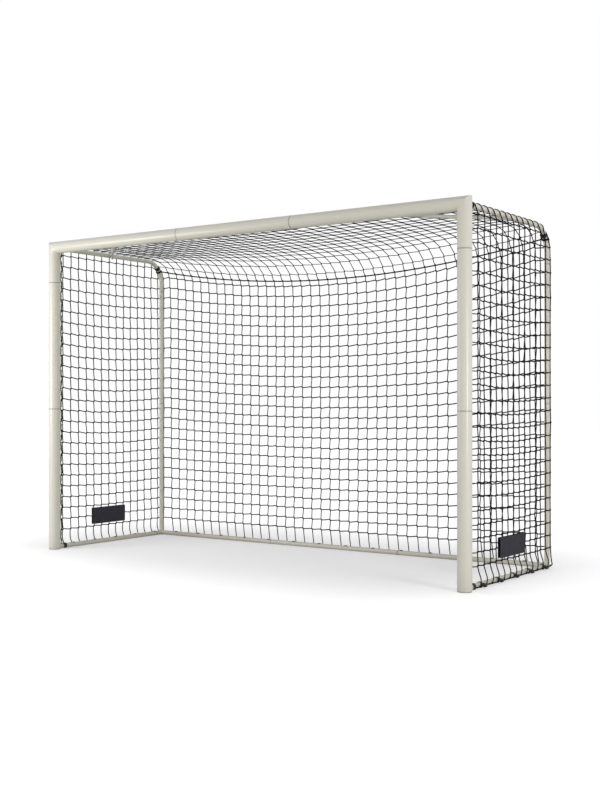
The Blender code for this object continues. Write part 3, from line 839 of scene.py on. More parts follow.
    def weld(self, hub: Array, arm: Array, side: Array) -> Skin:
        """Weld bead on the curve where two equal tubes meet square.

        The curve is hub + r * (side * cos a + up * sin a + arm * |sin a|), a ring's worth of a.

        Args:
            hub: where the axes cross.
            arm: unit direction of the arm.
            side: unit direction square to the arm and the pole.

        Returns:
            The closed bead.
        """
        angle = np.linspace(self.weld_end, np.pi - self.weld_end, 30)
        bead = hub + self.layout.bar_r * (side * np.cos(angle)[:, None]
                                          + (UP + arm) * np.sin(angle)[:, None])
        radius = self.weld_radius * (1 + self.ripple * np.cos(angle * self.ripple_rate))
        return cords(bead[None], side, radius[None], self.weld_sides)

    def ground_corner(self, side: Side) -> None:
        """Make a welded rear corner: pole, stub and arm with a bead along each joint.

        Args:
            side: the goal's end.
        """
        lay = self.layout
        hub = lay.at(side, lay.y_rear, lay.bar_r)
        top = lay.at(side, lay.y_rear, lay.z_pole_lower)
        stub = lay.at(side, lay.y_stub + lay.seam_gap, lay.bar_r)
        arm = spread(side.value * (lay.x_rear_bar + lay.seam_gap), lay.y_rear, lay.bar_r)
        skins = [self.solid(hub - UP * lay.bar_r, top - UP * lay.seam_gap, ACROSS),
                 self.solid(hub, stub, ACROSS), self.solid(hub, arm, UP),
                 self.weld(hub, -BACK, ACROSS), self.weld(hub, -side.out, BACK)]
        self.painted(f"rear_corner_{side.word}", Skin.joined(skins),
                     ((top, UP), (stub, BACK), (arm, ACROSS)))

    def coped_tube(self, front: Array, rear: Array, run: Array) -> Skin:
        """Brace tube whose two ends are shaped to the round tubes that they meet.

        Each line of its wall starts where its Y is sqrt(R^2 - h^2) behind the crossbar's axis and
        ends where its X is sqrt(r^2 - h^2) inside the side bar's axis, h being its height from
        these axes, R the crossbar's radius and r the bar's.

        Args:
            front: where its axis crosses the crossbar's plane.
            rear: where its axis crosses the side bar's plane.
            run: unit direction from one to the other.

        Returns:
            The closed shell.
        """
        lay, share = self.layout, self.shares()
        angle = (TURN * np.arange(self.rear_sides) / self.rear_sides)[:, None]
        walls = []
        for radius, rows in ((self.brace_r, share), (self.brace_r - self.rear_wall, share[::-1])):
            line = front + radius * (np.cos(angle) * UP + np.sin(angle) * np.cross(run, UP))
            square = (line[:, 2] - lay.z_top) ** 2
            y = lay.y_front + np.sqrt((lay.post_r - self.front_sink) ** 2 - square)
            inside = np.sqrt(np.maximum((lay.bar_r - self.rear_sink) ** 2 - square, 0))
            start = (y - line[:, 1]) / run[1]
            end = (np.sign(rear[0]) * (lay.x_post - inside) - line[:, 0]) / run[0]
            walls.append(line + (start + (end - start) * rows)[..., None] * run)
        return lattice(np.concatenate(walls)[None], closed=True)

    def tongue(self, rear: Array, run: Array) -> Skin:
        """Flat end of a brace under the side bar, round at its nose, with softened edges.

        Args:
            rear: where the brace's axis crosses the side bar's plane.
            run: unit direction of the brace.

        Returns:
            The closed plate.
        """
        lay, half, edge = self.layout, self.tongue_width / 2, self.tongue_edge
        nose = np.linspace(-np.pi / 2, np.pi / 2, 13)
        length = self.tongue_length - half
        along = np.pad(length - self.brace_r + half * np.cos(nose), 1)[:, None]
        side = np.concatenate([[-half], half * np.sin(nose), [half]])[:, None]
        origin = rear - run * (self.tongue_length - self.brace_r)
        origin[2] = lay.z_top - lay.bar_r - self.rear_sink
        inset = np.array([edge, 0.0, 0.0, edge])[:, None, None]
        depth = np.array([0.0, edge, self.tongue_thickness - edge, self.tongue_thickness])
        rings = (origin + along * (1 - inset / length) * run
                 + side * (1 - inset / half) * np.cross(run, UP) - depth[:, None, None] * UP)
        return lattice(rings[None])

    def brace(self, side: Side) -> None:
        """Make one diagonal brace between the crossbar and a side bar.

        Args:
            side: the goal's end.
        """
        lay, height = self.layout, self.layout.z_top - self.brace_drop
        front = spread(side.value * (lay.x_post - self.brace_from_post), lay.y_front, height)
        rear = lay.at(side, lay.y_front + self.brace_behind, height)
        run = unit(rear - front)
        skin = Skin.joined([self.coped_tube(front, rear, run), self.tongue(rear, run)])
        self.painted(f"brace_{side.word}", skin, ((rear, run),))

    def upright(self, stem: str, side: Side, y: float, z: Pair, gauge: Gauge
                ) -> None:
        """Make a straight upright tube of one side between two heights."""
        self.straight(f"{stem}_{side.word}", *self.layout.at(side, y, z), gauge)

    def build(self) -> None:
        """Make every painted tube, front frame first."""
        lay, low = self.layout, self.layout.bar_r
        ends = spread([-lay.x_crossbar_seam, lay.x_crossbar_seam], lay.y_front, lay.z_top)
        self.straight("crossbar_middle", *ends, self.wide)
        for side in Side:
            self.corner(side)
            self.upright("post_middle", side, lay.y_front, (lay.z_post_upper, lay.z_post_lower),
                         self.wide)
            self.upright("post_lower", side, lay.y_front, (lay.z_post_lower, lay.z_plug), self.wide)
        for side in Side:
            self.bent_bar(side)
            self.upright("rear_pole", side, lay.y_rear, (lay.z_pole_upper, lay.z_pole_lower),
                         self.thin)
            self.straight(f"ground_side_bar_{side.word}",
                          *lay.at(side, (self.butt, lay.y_stub), low), self.thin)
            self.ground_corner(side)
        ends = spread([-lay.x_rear_bar, lay.x_rear_bar], lay.y_rear, low)
        self.straight("rear_bar_middle", *ends, self.thin)
        for side in Side:
            self.brace(side)


@dataclass
class Feet:
    """Plastic plugs under the posts."""

    layout: Layout
    finishes: Finishes
    sides: int = 72
    edge: float = 0.004
    step: float = 0.0002
    insert: float = 0.030

    def build(self) -> None:
        """Make both plugs: a round-edged flange, and an insert that goes up the post."""
        lay = self.layout
        angle = np.linspace(0, np.pi / 2, 8)
        flange, inner = lay.z_plug - lay.seam_gap, lay.post_r - self.edge
        rounded = spread(inner + self.edge * np.sin(angle), self.edge * (1 - np.cos(angle)))
        profile = np.concatenate([rounded, [[lay.post_r, flange], [inner, flange + self.step],
                                            [inner, flange + self.insert]]])
        for side in Side:
            node = f"foot_plug_{side.word}"
            foot = lay.at(side, lay.y_front, 0.0)
            make_piece(node + "_moulded", turned_skin(profile, foot, UP, ACROSS, self.sides),
                       self.finishes.plug, [node])


@dataclass
class Screws:
    """Domed screws with a hexagon recess."""

    layout: Layout
    finishes: Finishes
    steps: int = 48
    head_r: float = 0.0065
    head_height: float = 0.0035
    shank_r: float = 0.003
    shank_length: float = 0.012
    shank_sides: int = 16
    tongue_depth: float = 0.0033
    dome: tuple[Pair, ...] = (
        (1.0, -0.05), (1.0, 0.35), (0.93, 0.62), (0.78, 0.86), (0.6, 1.0), (0.46, 1.0),
        (0.40, 0.96), (0.38, 0.35), (0.05, 0.30))

    def screw(self, seat: Array, outward: Array) -> Skin:
        """A shank, and a dome whose middle sinks into a hexagon.

        Args:
            seat: centre of the head's underside.
            outward: unit direction away from the seat.

        Returns:
            The closed screw.
        """
        angle = TURN * np.arange(self.steps) / self.steps
        squash = np.ones((len(self.dome), self.steps))
        squash[-3:] = np.cos(np.pi / 6) / np.cos((angle % (np.pi / 3)) - np.pi / 6)
        head = turned_skin(np.array(self.dome) * (self.head_r, self.head_height), seat, outward,
                           ACROSS, self.steps, squash)
        shank = np.array([[self.shank_r, -self.shank_length], [self.shank_r, 0.0]])
        return Skin.joined([head, turned_skin(shank, seat, outward, ACROSS, self.shank_sides)])

    def build(self) -> None:
        """Make a screw for each of the frame's own, seated on the tube that it goes into."""
        lay = self.layout
        facing = {"crossbar_screw_{}": (unit(BACK + UP), lay.post_r, lay.y_front, lay.z_top),
                  "post_upper_screw_{}": (BACK, lay.post_r, lay.y_front, None),
                  "post_lower_screw_{}": (BACK, lay.post_r, lay.y_front, None),
                  "pole_screw_{}": (-BACK, lay.bar_r, lay.y_rear, None),
                  "brace_{}_screw": (-UP, lay.bar_r + self.tongue_depth, None, lay.z_top)}
        for stem, (outward, radius, y, z) in facing.items():
            for side in Side:
                node = stem.format(side.word)
                lo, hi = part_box(node)
                seat = (np.array(lo) + np.array(hi)) / 2
                seat[1], seat[2] = seat[1] if y is None else y, seat[2] if z is None else z
                make_piece(f"{node}_domed", self.screw(seat + outward * radius, outward),
                           self.finishes.zinc, [node])


# Net


@dataclass
class NetShape:
    """Where the net hangs: the ropes' curves, the rows and the columns."""

    layout: Layout
    cord_r: float = 0.0035
    column_r: float = 0.0033
    roof_cord_r: float = 0.0025
    tension_r: float = 0.0042
    rope_r: float = 0.003
    column_pitch: float = 0.07104
    column_shift: float = 0.006
    free_columns: int = 40
    left_columns: tuple[float, float, int] = (0.0907, 0.0735, 14)
    right_columns: tuple[float, float, int] = (0.1150, 0.0738, 13)
    hoops: int = 25
    z_first: float = 0.120
    hoop_pitch: float = 0.0721
    last_gap: float = 0.033
    side_sag: float = 0.024
    sag_margins: Pair = (0.6, 1.5)
    roof_rows: int = 14
    roof_first: float = 0.038
    roof_last: float = 0.026
    edge_rise: float = 0.011
    edge_drop: float = 0.028
    edge_reach: float = 1.4419
    steady_lean: float = 0.42
    top_lean_power: int = 26
    rise: float = 0.100
    rise_depth: float = 0.060
    slope_depth: float = 0.350
    least_climb: float = 0.002
    samples: int = 240
    sample_power: float = 1.6
    tie_angle: float = math.radians(55)
    ground_bulge: float = 0.0195
    net_stand_off: float = 0.0182
    lacing_depth: float = 0.0520
    lacing_inset: float = 0.0075
    edge_rope_gap: float = 0.0028
    rng: np.random.Generator = field(default_factory=lambda: np.random.default_rng(SEED))

    def __post_init__(self) -> None:
        """Read the tension rope's ends and lowest point from the frame."""
        lo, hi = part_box("tension_rope")
        self.reach = hi.x
        self.tie_z = hi.z - self.rope_r
        self.sag = hi.z - lo.z - 2 * self.rope_r
        self.tie_y = lo.y + self.rope_r
        self.bulge = hi.y - lo.y - 2 * self.rope_r
        self.edge_out = self.layout.bar_r + self.rope_r + self.edge_rope_gap
        self.edge_height = self.layout.bar_r - self.rope_r

    def side_y(self, side: Side) -> Array:
        """Y of one side net's upright cords, from their start, pitch and count."""
        start, pitch, count = self.left_columns if side is Side.LEFT else self.right_columns
        return self.layout.y_front + start + pitch * np.arange(count)

    def side_x(self, side: Side) -> float:
        """X of one side net's plane."""
        return side.value * (self.layout.x_post + self.net_stand_off)

    def rope(self, x: Array) -> tuple[Array, Array]:
        """Y and Z of the tension rope: a parabola that sags and bows back between its ties."""
        spare = np.maximum(0.0, 1 - (x / self.reach) ** 2)
        return self.tie_y + self.bulge * spare, self.tie_z - self.sag * spare

    def front_edge(self, x: Array, stand_off: float) -> tuple[Array, Array]:
        """Y and Z of a cord on the crossbar's back, low at the middle and over the braces.

        Its height above the crossbar's axis is edge_rise - edge_drop * (1 - (x / reach)^2)^3.

        Args:
            x: places along the crossbar.
            stand_off: distance of the cord's axis from the crossbar's surface.

        Returns:
            Its Y and Z.
        """
        lay = self.layout
        across = np.clip(np.abs(x) / self.edge_reach, 0, 1)
        rise = self.edge_rise - self.edge_drop * (1 - across ** 2) ** 3
        return lay.y_front + np.sqrt((lay.post_r + stand_off) ** 2 - rise ** 2), lay.z_top + rise

    def back(self, x: Array, share: Array) -> Array:
        """Back net from its lowest row to just under the rope.

        It leans back evenly for a part, and for the rest as a high power of the height's share.

        Args:
            x: places along the crossbar.
            share: height between the lowest row, 0, and the rope, 1.

        Returns:
            Points of the net.
        """
        y_rope, z_rope = self.rope(x)
        bottom = self.layout.y_rear + self.ground_bulge
        lean = (self.steady_lean * share
                + (1 - self.steady_lean) * np.clip(share, 0, 1) ** self.top_lean_power)
        behind = y_rope + self.tension_r + self.cord_r
        return spread(x, bottom + (behind - bottom) * lean,
                      self.z_first + (z_rope - self.z_first) * share)

    def roof(self, x: Array) -> Array:
        """Knots of the roof net at equal distances along its profiles from rope to crossbar.

        Height above the rope is rise * (1 - exp(-d / rise_depth)) and a slower rise of the
        same kind for the rest, where d is the distance in front of the rope.

        Args:
            x: places of the columns.

        Returns:
            Points shaped rows by columns by 3.
        """
        y_rope, z_rope = self.rope(x)
        y_end, z_end = self.front_edge(x, self.cord_r)
        span = (y_rope - y_end)[:, None]
        d = (np.linspace(0, 1, self.samples) ** self.sample_power)[None] * span
        z_start = z_rope + self.tension_r + self.cord_r
        climb = np.maximum(z_end - z_start, self.least_climb)
        steep = np.minimum(self.rise, climb)
        slow = (1 - np.exp(-d / self.slope_depth)) / (1 - np.exp(-span / self.slope_depth))
        z = (z_start[:, None] + steep[:, None] * (1 - np.exp(-d / self.rise_depth))
             + (climb - steep)[:, None] * slow)
        profiles = spread(x[:, None], y_rope[:, None] - d, z)
        knots = np.empty((self.roof_rows, len(x), 3))
        for number, (profile, length) in enumerate(zip(profiles, distance_along(profiles))):
            wanted = np.linspace(self.roof_first, length[-1] - self.roof_last, self.roof_rows)
            for axis in range(3):
                knots[:, number, axis] = np.interp(wanted, length, profile[:, axis])
        return knots

    def columns(self) -> Array:
        """X of the free columns of the back and roof."""
        places = (np.arange(self.free_columns) - (self.free_columns - 1) / 2) * self.column_pitch
        return places + self.column_shift

    def side_z(self, y: Array, hoop: Array) -> Array:
        """Height of a side row, which sags most at the middle of the net.

        Args:
            y: places from front to back.
            hoop: the row's number.

        Returns:
            Heights.
        """
        depth = (y - self.layout.y_front) / (self.layout.y_rear - self.layout.y_front)
        height = (hoop + self.sag_margins[0]) / (self.hoops + self.sag_margins[1])
        sag = self.side_sag * np.sin(np.pi * np.clip(depth, 0, 1)) * np.sin(np.pi * height)
        return self.z_first + self.hoop_pitch * hoop - sag

    def jitter(self, shape: tuple[int, ...], size: float) -> Array:
        """Small seeded unevenness of hand-tied knots."""
        return self.rng.normal(0.0, size, shape)


@dataclass
class Crossings:
    """Where rows cross columns: the knots, both directions, and how each knot is tied.

    A step is the height that a row gains at a column. A hugging column lies on a tube, so that
    rows pass outside it only.
    """

    knots: Array
    step: float | Array
    hugging: bool | Array = False
    column: Array | None = None
    travel: Array | None = None
    run_shares: tuple[float, ...] = (0.09, 0.5, 0.91)

    def __post_init__(self) -> None:
        """Spread the values over the grid, and take directions that aren't given from it."""
        grid = self.knots.shape[:2]
        self.step = np.broadcast_to(self.step, grid)
        self.hugging = np.broadcast_to(self.hugging, grid)
        if self.column is None:
            self.column = unit(np.gradient(self.knots, axis=0))
            self.travel = square_to(np.gradient(self.knots, axis=1), self.column)

    def rows(self, radius: float, stations: int, slack: Array) -> Array:
        """Rows that make one and a half turns round each column.

        A turn's stations are knot - travel * r * cos a + inward * r * sin a + column * climb,
        for a from 0 to 3 pi. Each straight run between two knots dips a little at its middle.

        Args:
            radius: radius of the turns.
            stations: stations on each knot's turns.
            slack: dip of each run, shaped rows by runs.

        Returns:
            Paths of the rows.
        """
        inward = np.cross(self.travel, self.column)
        share = np.linspace(0, 1, stations)
        wave = np.sin(3 * np.pi * share)
        swing = np.where(self.hugging[..., None], -np.abs(wave), wave)
        turn = (-radius * np.cos(3 * np.pi * share)[:, None] * self.travel[:, :, None]
                + radius * swing[..., None] * inward[:, :, None]
                + (self.step[..., None] * (share - 0.5))[..., None] * self.column[:, :, None])
        tied = self.knots[:, :, None] + turn
        leave, meet = tied[:, :-1, -1:], tied[:, 1:, :1]
        share = np.array(self.run_shares)[:, None]
        dip = slack[..., None, None] * UP * (1 - (2 * share - 1) ** 2)
        runs = np.concatenate([tied[:, :-1], leave + (meet - leave) * share - dip], axis=2)
        return np.concatenate([runs.reshape(len(self.knots), -1, 3), tied[:, -1]], axis=1)

    def row_radii(self, stations: int, pulled: float, plain: float, tail: int) -> Array:
        """Radii of a row: pulled thin on its turns, plain on its runs and on a tail at each end."""
        step = [pulled] * stations + [plain] * len(self.run_shares)
        return np.pad((step * self.knots.shape[1])[:-len(self.run_shares)], tail,
                      constant_values=plain)

    def columns(self, pick: Array, half: float, shift: float) -> Array:
        """Columns through the knots, each a little aside below a knot and to the other side above.

        Args:
            pick: numbers of the columns.
            half: half of the knot's height.
            shift: sideways distance from the knot.

        Returns:
            Paths of the columns, two stations for each knot.
        """
        aside = (np.sign(self.step) * shift * ~self.hugging)[..., None] * self.travel
        offset = self.column * half + aside
        both = np.stack([self.knots - offset, self.knots + offset], axis=1)
        return both.reshape(-1, *self.knots.shape[1:])[:, pick].transpose(1, 0, 2)


def densified(paths: Array) -> Array:
    """Add a station amid each gap, on the cubic through both ends: mean + (slope - next) / 8.

    Args:
        paths: points shaped paths by stations by 3.

    Returns:
        The denser paths.
    """
    slope = np.gradient(paths, axis=1)
    middle = (paths[:, :-1] + paths[:, 1:]) / 2 + (slope[:, :-1] - slope[:, 1:]) / 8
    dense = np.stack([paths[:, :-1], middle], axis=2).reshape(len(paths), -1, 3)
    return np.concatenate([dense, paths[:, -1:]], axis=1)


@dataclass
class KnottedNet:
    """The knotted net: rows that hitch round columns, over the back, the sides and the roof."""

    shape: NetShape
    finishes: Finishes
    sides: int = 6
    step: float = 0.0062
    shift: float = 0.0026
    turn_stations: int = 10
    hitch_r: float = 0.0038
    pulled_r: float = 0.0025
    roof_hitch_r: float = 0.0033
    roof_pulled_r: float = 0.0019
    slack: float = 0.0005
    unevenness: float = 0.0008
    top_row_r: float = 0.0030
    top_row_bend: float = 0.040
    top_row_lift: float = 0.006
    top_row_aside: float = 0.003
    top_row_share: Pair = (0.40, 0.94)
    bend_gap: float = 0.0004
    bend_end: float = 0.95
    turn_advance: float = 0.024
    turn_gap: float = 0.0002
    bar_stations: int = 16
    pole_gap: float = 0.0008
    pole_places: tuple[Pair, ...] = ((0.72, 0.72), (-0.34, 0.94))
    pole_pull: Triple = (0.010, 0.012, 0.0)
    pole_feet: tuple[Pair, ...] = ((0.8, 0.018), (0.3, 0.060))
    pole_foot: float = 0.016
    pole_tie: Pair = (1.12, 1.03)
    pole_arc: Pair = (1.22, 0.92)
    rope_sink: float = 0.001
    over_rope: tuple[float, ...] = (0.35, 1.0, 1.6, 2.2)
    back_feet: tuple[Triple, ...] = ((0.010, 0.0, 0.015), (0.009, 0.004, 0.034),
                                     (0.005, 0.003, 0.066))
    side_feet: tuple[Triple, ...] = ((0.004, 0.020, 0.014), (0.009, 0.019, 0.030),
                                     (0.012, 0.013, 0.055), (0.006, 0.004, 0.085))

    def __post_init__(self) -> None:
        """Work out the knots of the rows round the goal and of the roof."""
        shape, lay = self.shape, self.shape.layout
        self.bend_start = lay.y_rear - lay.bend_radius + self.top_row_bend
        left, right = (len(shape.side_y(side)) + 2 for side in Side)
        counts = [left, shape.free_columns, right]
        self.first_back = left
        knots = self.hoop_knots()
        knots = knots + shape.jitter(knots.shape, self.unevenness)
        self.total = sum(counts)
        hugging = np.zeros(self.total, dtype=bool)
        hugging[[left - 2, left - 1, -right, 1 - right]] = True
        step = np.repeat([self.step, -self.step, -self.step], counts)
        self.round = Crossings(knots, step, hugging)
        roof = shape.roof(shape.columns())
        self.roof = Crossings(roof + shape.jitter(roof.shape, self.unevenness), self.step)

    def hoop_knots(self) -> Array:
        """Knots of the rows that go round the left side, the back and the right side.

        Beside each pole, the knots above its straight part are carried round the rear bend.

        Returns:
            Knots shaped rows by columns by 3.
        """
        shape, lay = self.shape, self.shape.layout
        hoop = np.arange(shape.hoops)[:, None]
        x = shape.columns()
        _, z_rope = shape.rope(x)
        top = (z_rope - shape.last_gap - shape.z_first) / (z_rope - shape.z_first)
        back = shape.back(x, hoop / (shape.hoops - 1) * top)
        pole = lay.bar_r + shape.column_r + self.pole_gap
        z = shape.z_first + shape.hoop_pitch * hoop
        above = np.maximum(0.0, z - (lay.z_top - lay.bend_radius))
        blocks = []
        for side in Side:
            y = shape.side_y(side)
            block = [spread(shape.side_x(side), y, shape.side_z(y, hoop))]
            for out, behind in self.pole_places:
                turn = above / (lay.bend_radius + behind * pole)
                y, z_bend = lay.bend(np.pi / 2 - turn, behind * pole)
                block.append(spread(side.value * (lay.x_post + out * pole), y,
                                    np.minimum(z, z_bend)))
            block = np.concatenate(block, axis=1)
            blocks.append(block if side is Side.LEFT else block[:, ::-1])
        return np.concatenate([blocks[0], back, blocks[1]], axis=1)

    def tied_end(self, side: Side, z: Array) -> Array:
        """Points on the post's lacing where rows of a side net end, at these heights."""
        shape, lay = self.shape, self.shape.layout
        return spread(side.value * (lay.x_post - shape.lacing_inset),
                      lay.y_front + shape.lacing_depth, z)

    def cord_piece(self, name: str, paths: Array, reference: Array, radius: float | Array,
                   replaces: Sequence[str] = ()) -> None:
        """Make one piece of net cord along paths that never follow the reference direction."""
        make_piece(name, cords(paths, reference, radius, self.sides), self.finishes.net,
                   replaces, CORD_CREASE)

    def build_hoops(self) -> None:
        """Make the rows, each hitched to every column that it crosses."""
        slack = np.abs(self.shape.jitter((self.shape.hoops, self.total - 1), self.slack))
        paths = self.round.rows(self.hitch_r, self.turn_stations, slack)
        radii = self.round.row_radii(self.turn_stations, self.pulled_r, self.shape.cord_r, 1)
        left, right = (self.tied_end(side, paths[:, end, 2] + self.step * 0.3)[:, None]
                       for side, end in ((Side.LEFT, 0), (Side.RIGHT, -1)))
        paths = np.concatenate([left, paths, right], axis=1)
        half = len(paths) // 2
        for number, group in enumerate((paths[:half], paths[half:])):
            self.cord_piece(f"net_rows_{number + 1}", group, UP + 0.05 * ACROSS, radii)

    def build_columns(self) -> None:
        """Make the free columns: up the back, over the tension rope and along the roof."""
        shape, lay = self.shape, self.shape.layout
        x = shape.columns()
        pick = np.arange(shape.free_columns)
        back = self.round.columns(self.first_back + pick, self.step / 2, self.shift)
        roof = self.roof.columns(pick, self.step / 2, self.shift)
        y_rope, z_rope = shape.rope(x)
        touch = shape.tension_r + shape.column_r - self.rope_sink
        over = [spread(x, y_rope + touch * math.cos(a), z_rope + touch * math.sin(a))
                for a in self.over_rope]
        behind = lay.y_rear + lay.bar_r + 2 * shape.rope_r
        ground = [spread(x + aside, behind + bow, height) for aside, bow, height in self.back_feet]
        front = spread(x, *shape.front_edge(x, shape.cord_r))
        paths = densified(np.concatenate([np.stack(ground, axis=1), back, np.stack(over, axis=1),
                                          roof, front[:, None]], axis=1))
        share = np.arange(paths.shape[1]) - 2 * (len(ground) + back.shape[1] + len(over))
        radii = np.interp(share, [-4, 6], [shape.column_r, shape.roof_cord_r])
        self.cord_piece("net_columns", paths, ACROSS, radii, ["net_back", "net_roof"])

    def build_roof_rows(self) -> None:
        """Make the roof's rows, each turned over both side bars where it becomes a side cord."""
        shape = self.shape
        slack = np.abs(shape.jitter((shape.roof_rows, shape.free_columns - 1), self.slack))
        paths = self.roof.rows(self.roof_hitch_r, self.turn_stations, slack)
        left, right = self.bar_turn(Side.LEFT, paths[:, 0]), self.bar_turn(Side.RIGHT, paths[:, -1])
        radii = self.roof.row_radii(self.turn_stations, self.roof_pulled_r, shape.roof_cord_r,
                                    left.shape[1])
        paths = np.concatenate([left, paths, right[:, ::-1]], axis=1)
        self.cord_piece("net_roof_rows", paths, BACK + 0.1 * UP, radii)
        self.bar_starts = {Side.LEFT: left[:, 0], Side.RIGHT: right[:, 0]}

    def bar_turn(self, side: Side, ends: Array) -> Array:
        """Turn cords over a side bar, from its outer face to where they leave for the roof.

        The turn's angle runs from 0, outside, to the angle at which the bar's circle is tangent
        to the run that follows, and it moves forward by a third of a mesh on the way.

        Args:
            side: the goal's end.
            ends: the roof rows' first or last points.

        Returns:
            The stations, shaped rows by stations by 3.
        """
        lay, out = self.shape.layout, side.out
        radius = lay.bar_r + self.shape.roof_cord_r + self.turn_gap
        share = np.linspace(0, 1, self.bar_stations)
        straight = lay.y_rear - lay.bend_radius
        y = np.minimum(ends[:, 1:2] + self.turn_advance * (1 - share),
                       straight + self.bend_end * lay.bend_radius)
        angle = np.arcsin(np.clip((y - straight) / lay.bend_radius, 0, 1))
        centre = lay.at(side, y, lay.bend(angle)[1])
        normal = spread(0.0, np.sin(angle), np.cos(angle))
        reach = ends - centre[:, -1]
        height, width = np.sum(reach * normal[:, -1], axis=-1), np.sum(reach * out, axis=-1)
        leave = (np.arctan2(height, width) % TURN
                 - np.arccos(np.clip(radius / np.hypot(height, width), 0, 1)))
        turn = (share * leave[:, None])[..., None]
        return centre + radius * (out * np.cos(turn) + normal * np.sin(turn))

    def build_side_columns(self) -> None:
        """Make the upright cords of both sides, from the edge rope to the side bars."""
        shape = self.shape
        for side in Side:
            pick = np.arange(len(shape.side_y(side)))
            tops = self.bar_starts[side][::-1][:len(pick)]
            pick = pick if side is Side.LEFT else self.total - 1 - pick
            block = self.round.columns(pick, self.step / 2, self.shift)
            base, last = block[:, 0] * (1, 1, 0), block[:, -1]
            ground = [base + side.out * aside + BACK * bow + UP * height
                      for aside, bow, height in self.side_feet]
            knot = spread(*last.T[:2], shape.side_z(last[:, 1], np.array(shape.hoops)))
            free = (last[:, 1] < self.bend_start)[:, None]
            knot = np.where(free, knot, (last + tops) / 2)
            paths = np.concatenate([np.stack(ground, axis=1), block, knot[:, None], tops[:, None]],
                                   axis=1)
            self.cord_piece(f"net_side_columns_{side.word}", densified(paths), ACROSS,
                            shape.column_r, [f"net_{side.word}"])

    def build_top_rows(self) -> None:
        """Make each side net's top row, which runs under the bar and round the bend to its tie."""
        shape, lay = self.shape, self.shape.layout
        for side in Side:
            y = shape.side_y(side)
            y = y[y < self.bend_start]
            z = shape.side_z(y, np.array(shape.hoops))
            knots = spread(shape.side_x(side), y, z)[None]
            crossings = Crossings(knots, self.step, column=UP[None, None], travel=BACK[None, None])
            row = crossings.rows(self.hitch_r, self.turn_stations, np.zeros((1, len(y) - 1)))[0]
            start = self.tied_end(side, z[:1] + self.top_row_lift)
            y_bend, z_bend = lay.bend(np.linspace(*self.top_row_share, 6) * shape.tie_angle,
                                      -lay.bar_r - self.top_row_r - self.bend_gap)
            drop = (z[-1] - z_bend[0]) * (1 - np.linspace(0, 1, 6)) ** 2
            tail = spread(side.value * (lay.x_post + self.top_row_aside), y_bend, z_bend + drop)
            self.cord_piece(f"net_top_row_{side.word}", np.concatenate([start, row, tail])[None],
                            ACROSS, self.top_row_r)

    def build_pole_columns(self) -> None:
        """Make the two cords that run up each rear pole to the tension rope's tie."""
        shape, lay = self.shape, self.shape.layout
        offset = lay.bar_r + shape.column_r + self.bend_gap
        for side in Side:
            pick = len(shape.side_y(side)) + np.arange(2)
            pick = pick if side is Side.LEFT else self.total - 1 - pick
            corner, hug = self.round.columns(pick, self.step / 2, 0.0)
            y, z = lay.bend(np.array(self.pole_tie) * shape.tie_angle)
            tail = spread(side.value * (lay.x_post + offset), y, z)
            pull = self.pole_pull * np.array([side.value, 1, 1])
            ground = [corner[0] * (1, 1, 0) + pull * share + UP * height
                      for share, height in self.pole_feet]
            self.cord_piece(f"net_corner_cord_{side.word}",
                            densified(np.concatenate([ground, corner, tail])[None]),
                            ACROSS + 0.3 * BACK, shape.column_r)
            behind = offset * self.pole_places[1][1]
            arc = spread(hug[-1, 0], *lay.bend(np.linspace(*self.pole_arc, 5), behind))
            whole = np.concatenate([[hug[0] * (1, 1, 0) + UP * self.pole_foot], hug, arc])
            self.cord_piece(f"net_pole_cord_{side.word}", whole[None], ACROSS, shape.column_r)

    def build(self) -> None:
        """Make every cord of the net."""
        self.build_hoops()
        self.build_columns()
        self.build_roof_rows()
        self.build_side_columns()
        self.build_top_rows()
        self.build_pole_columns()


# Ropes, clips and labels


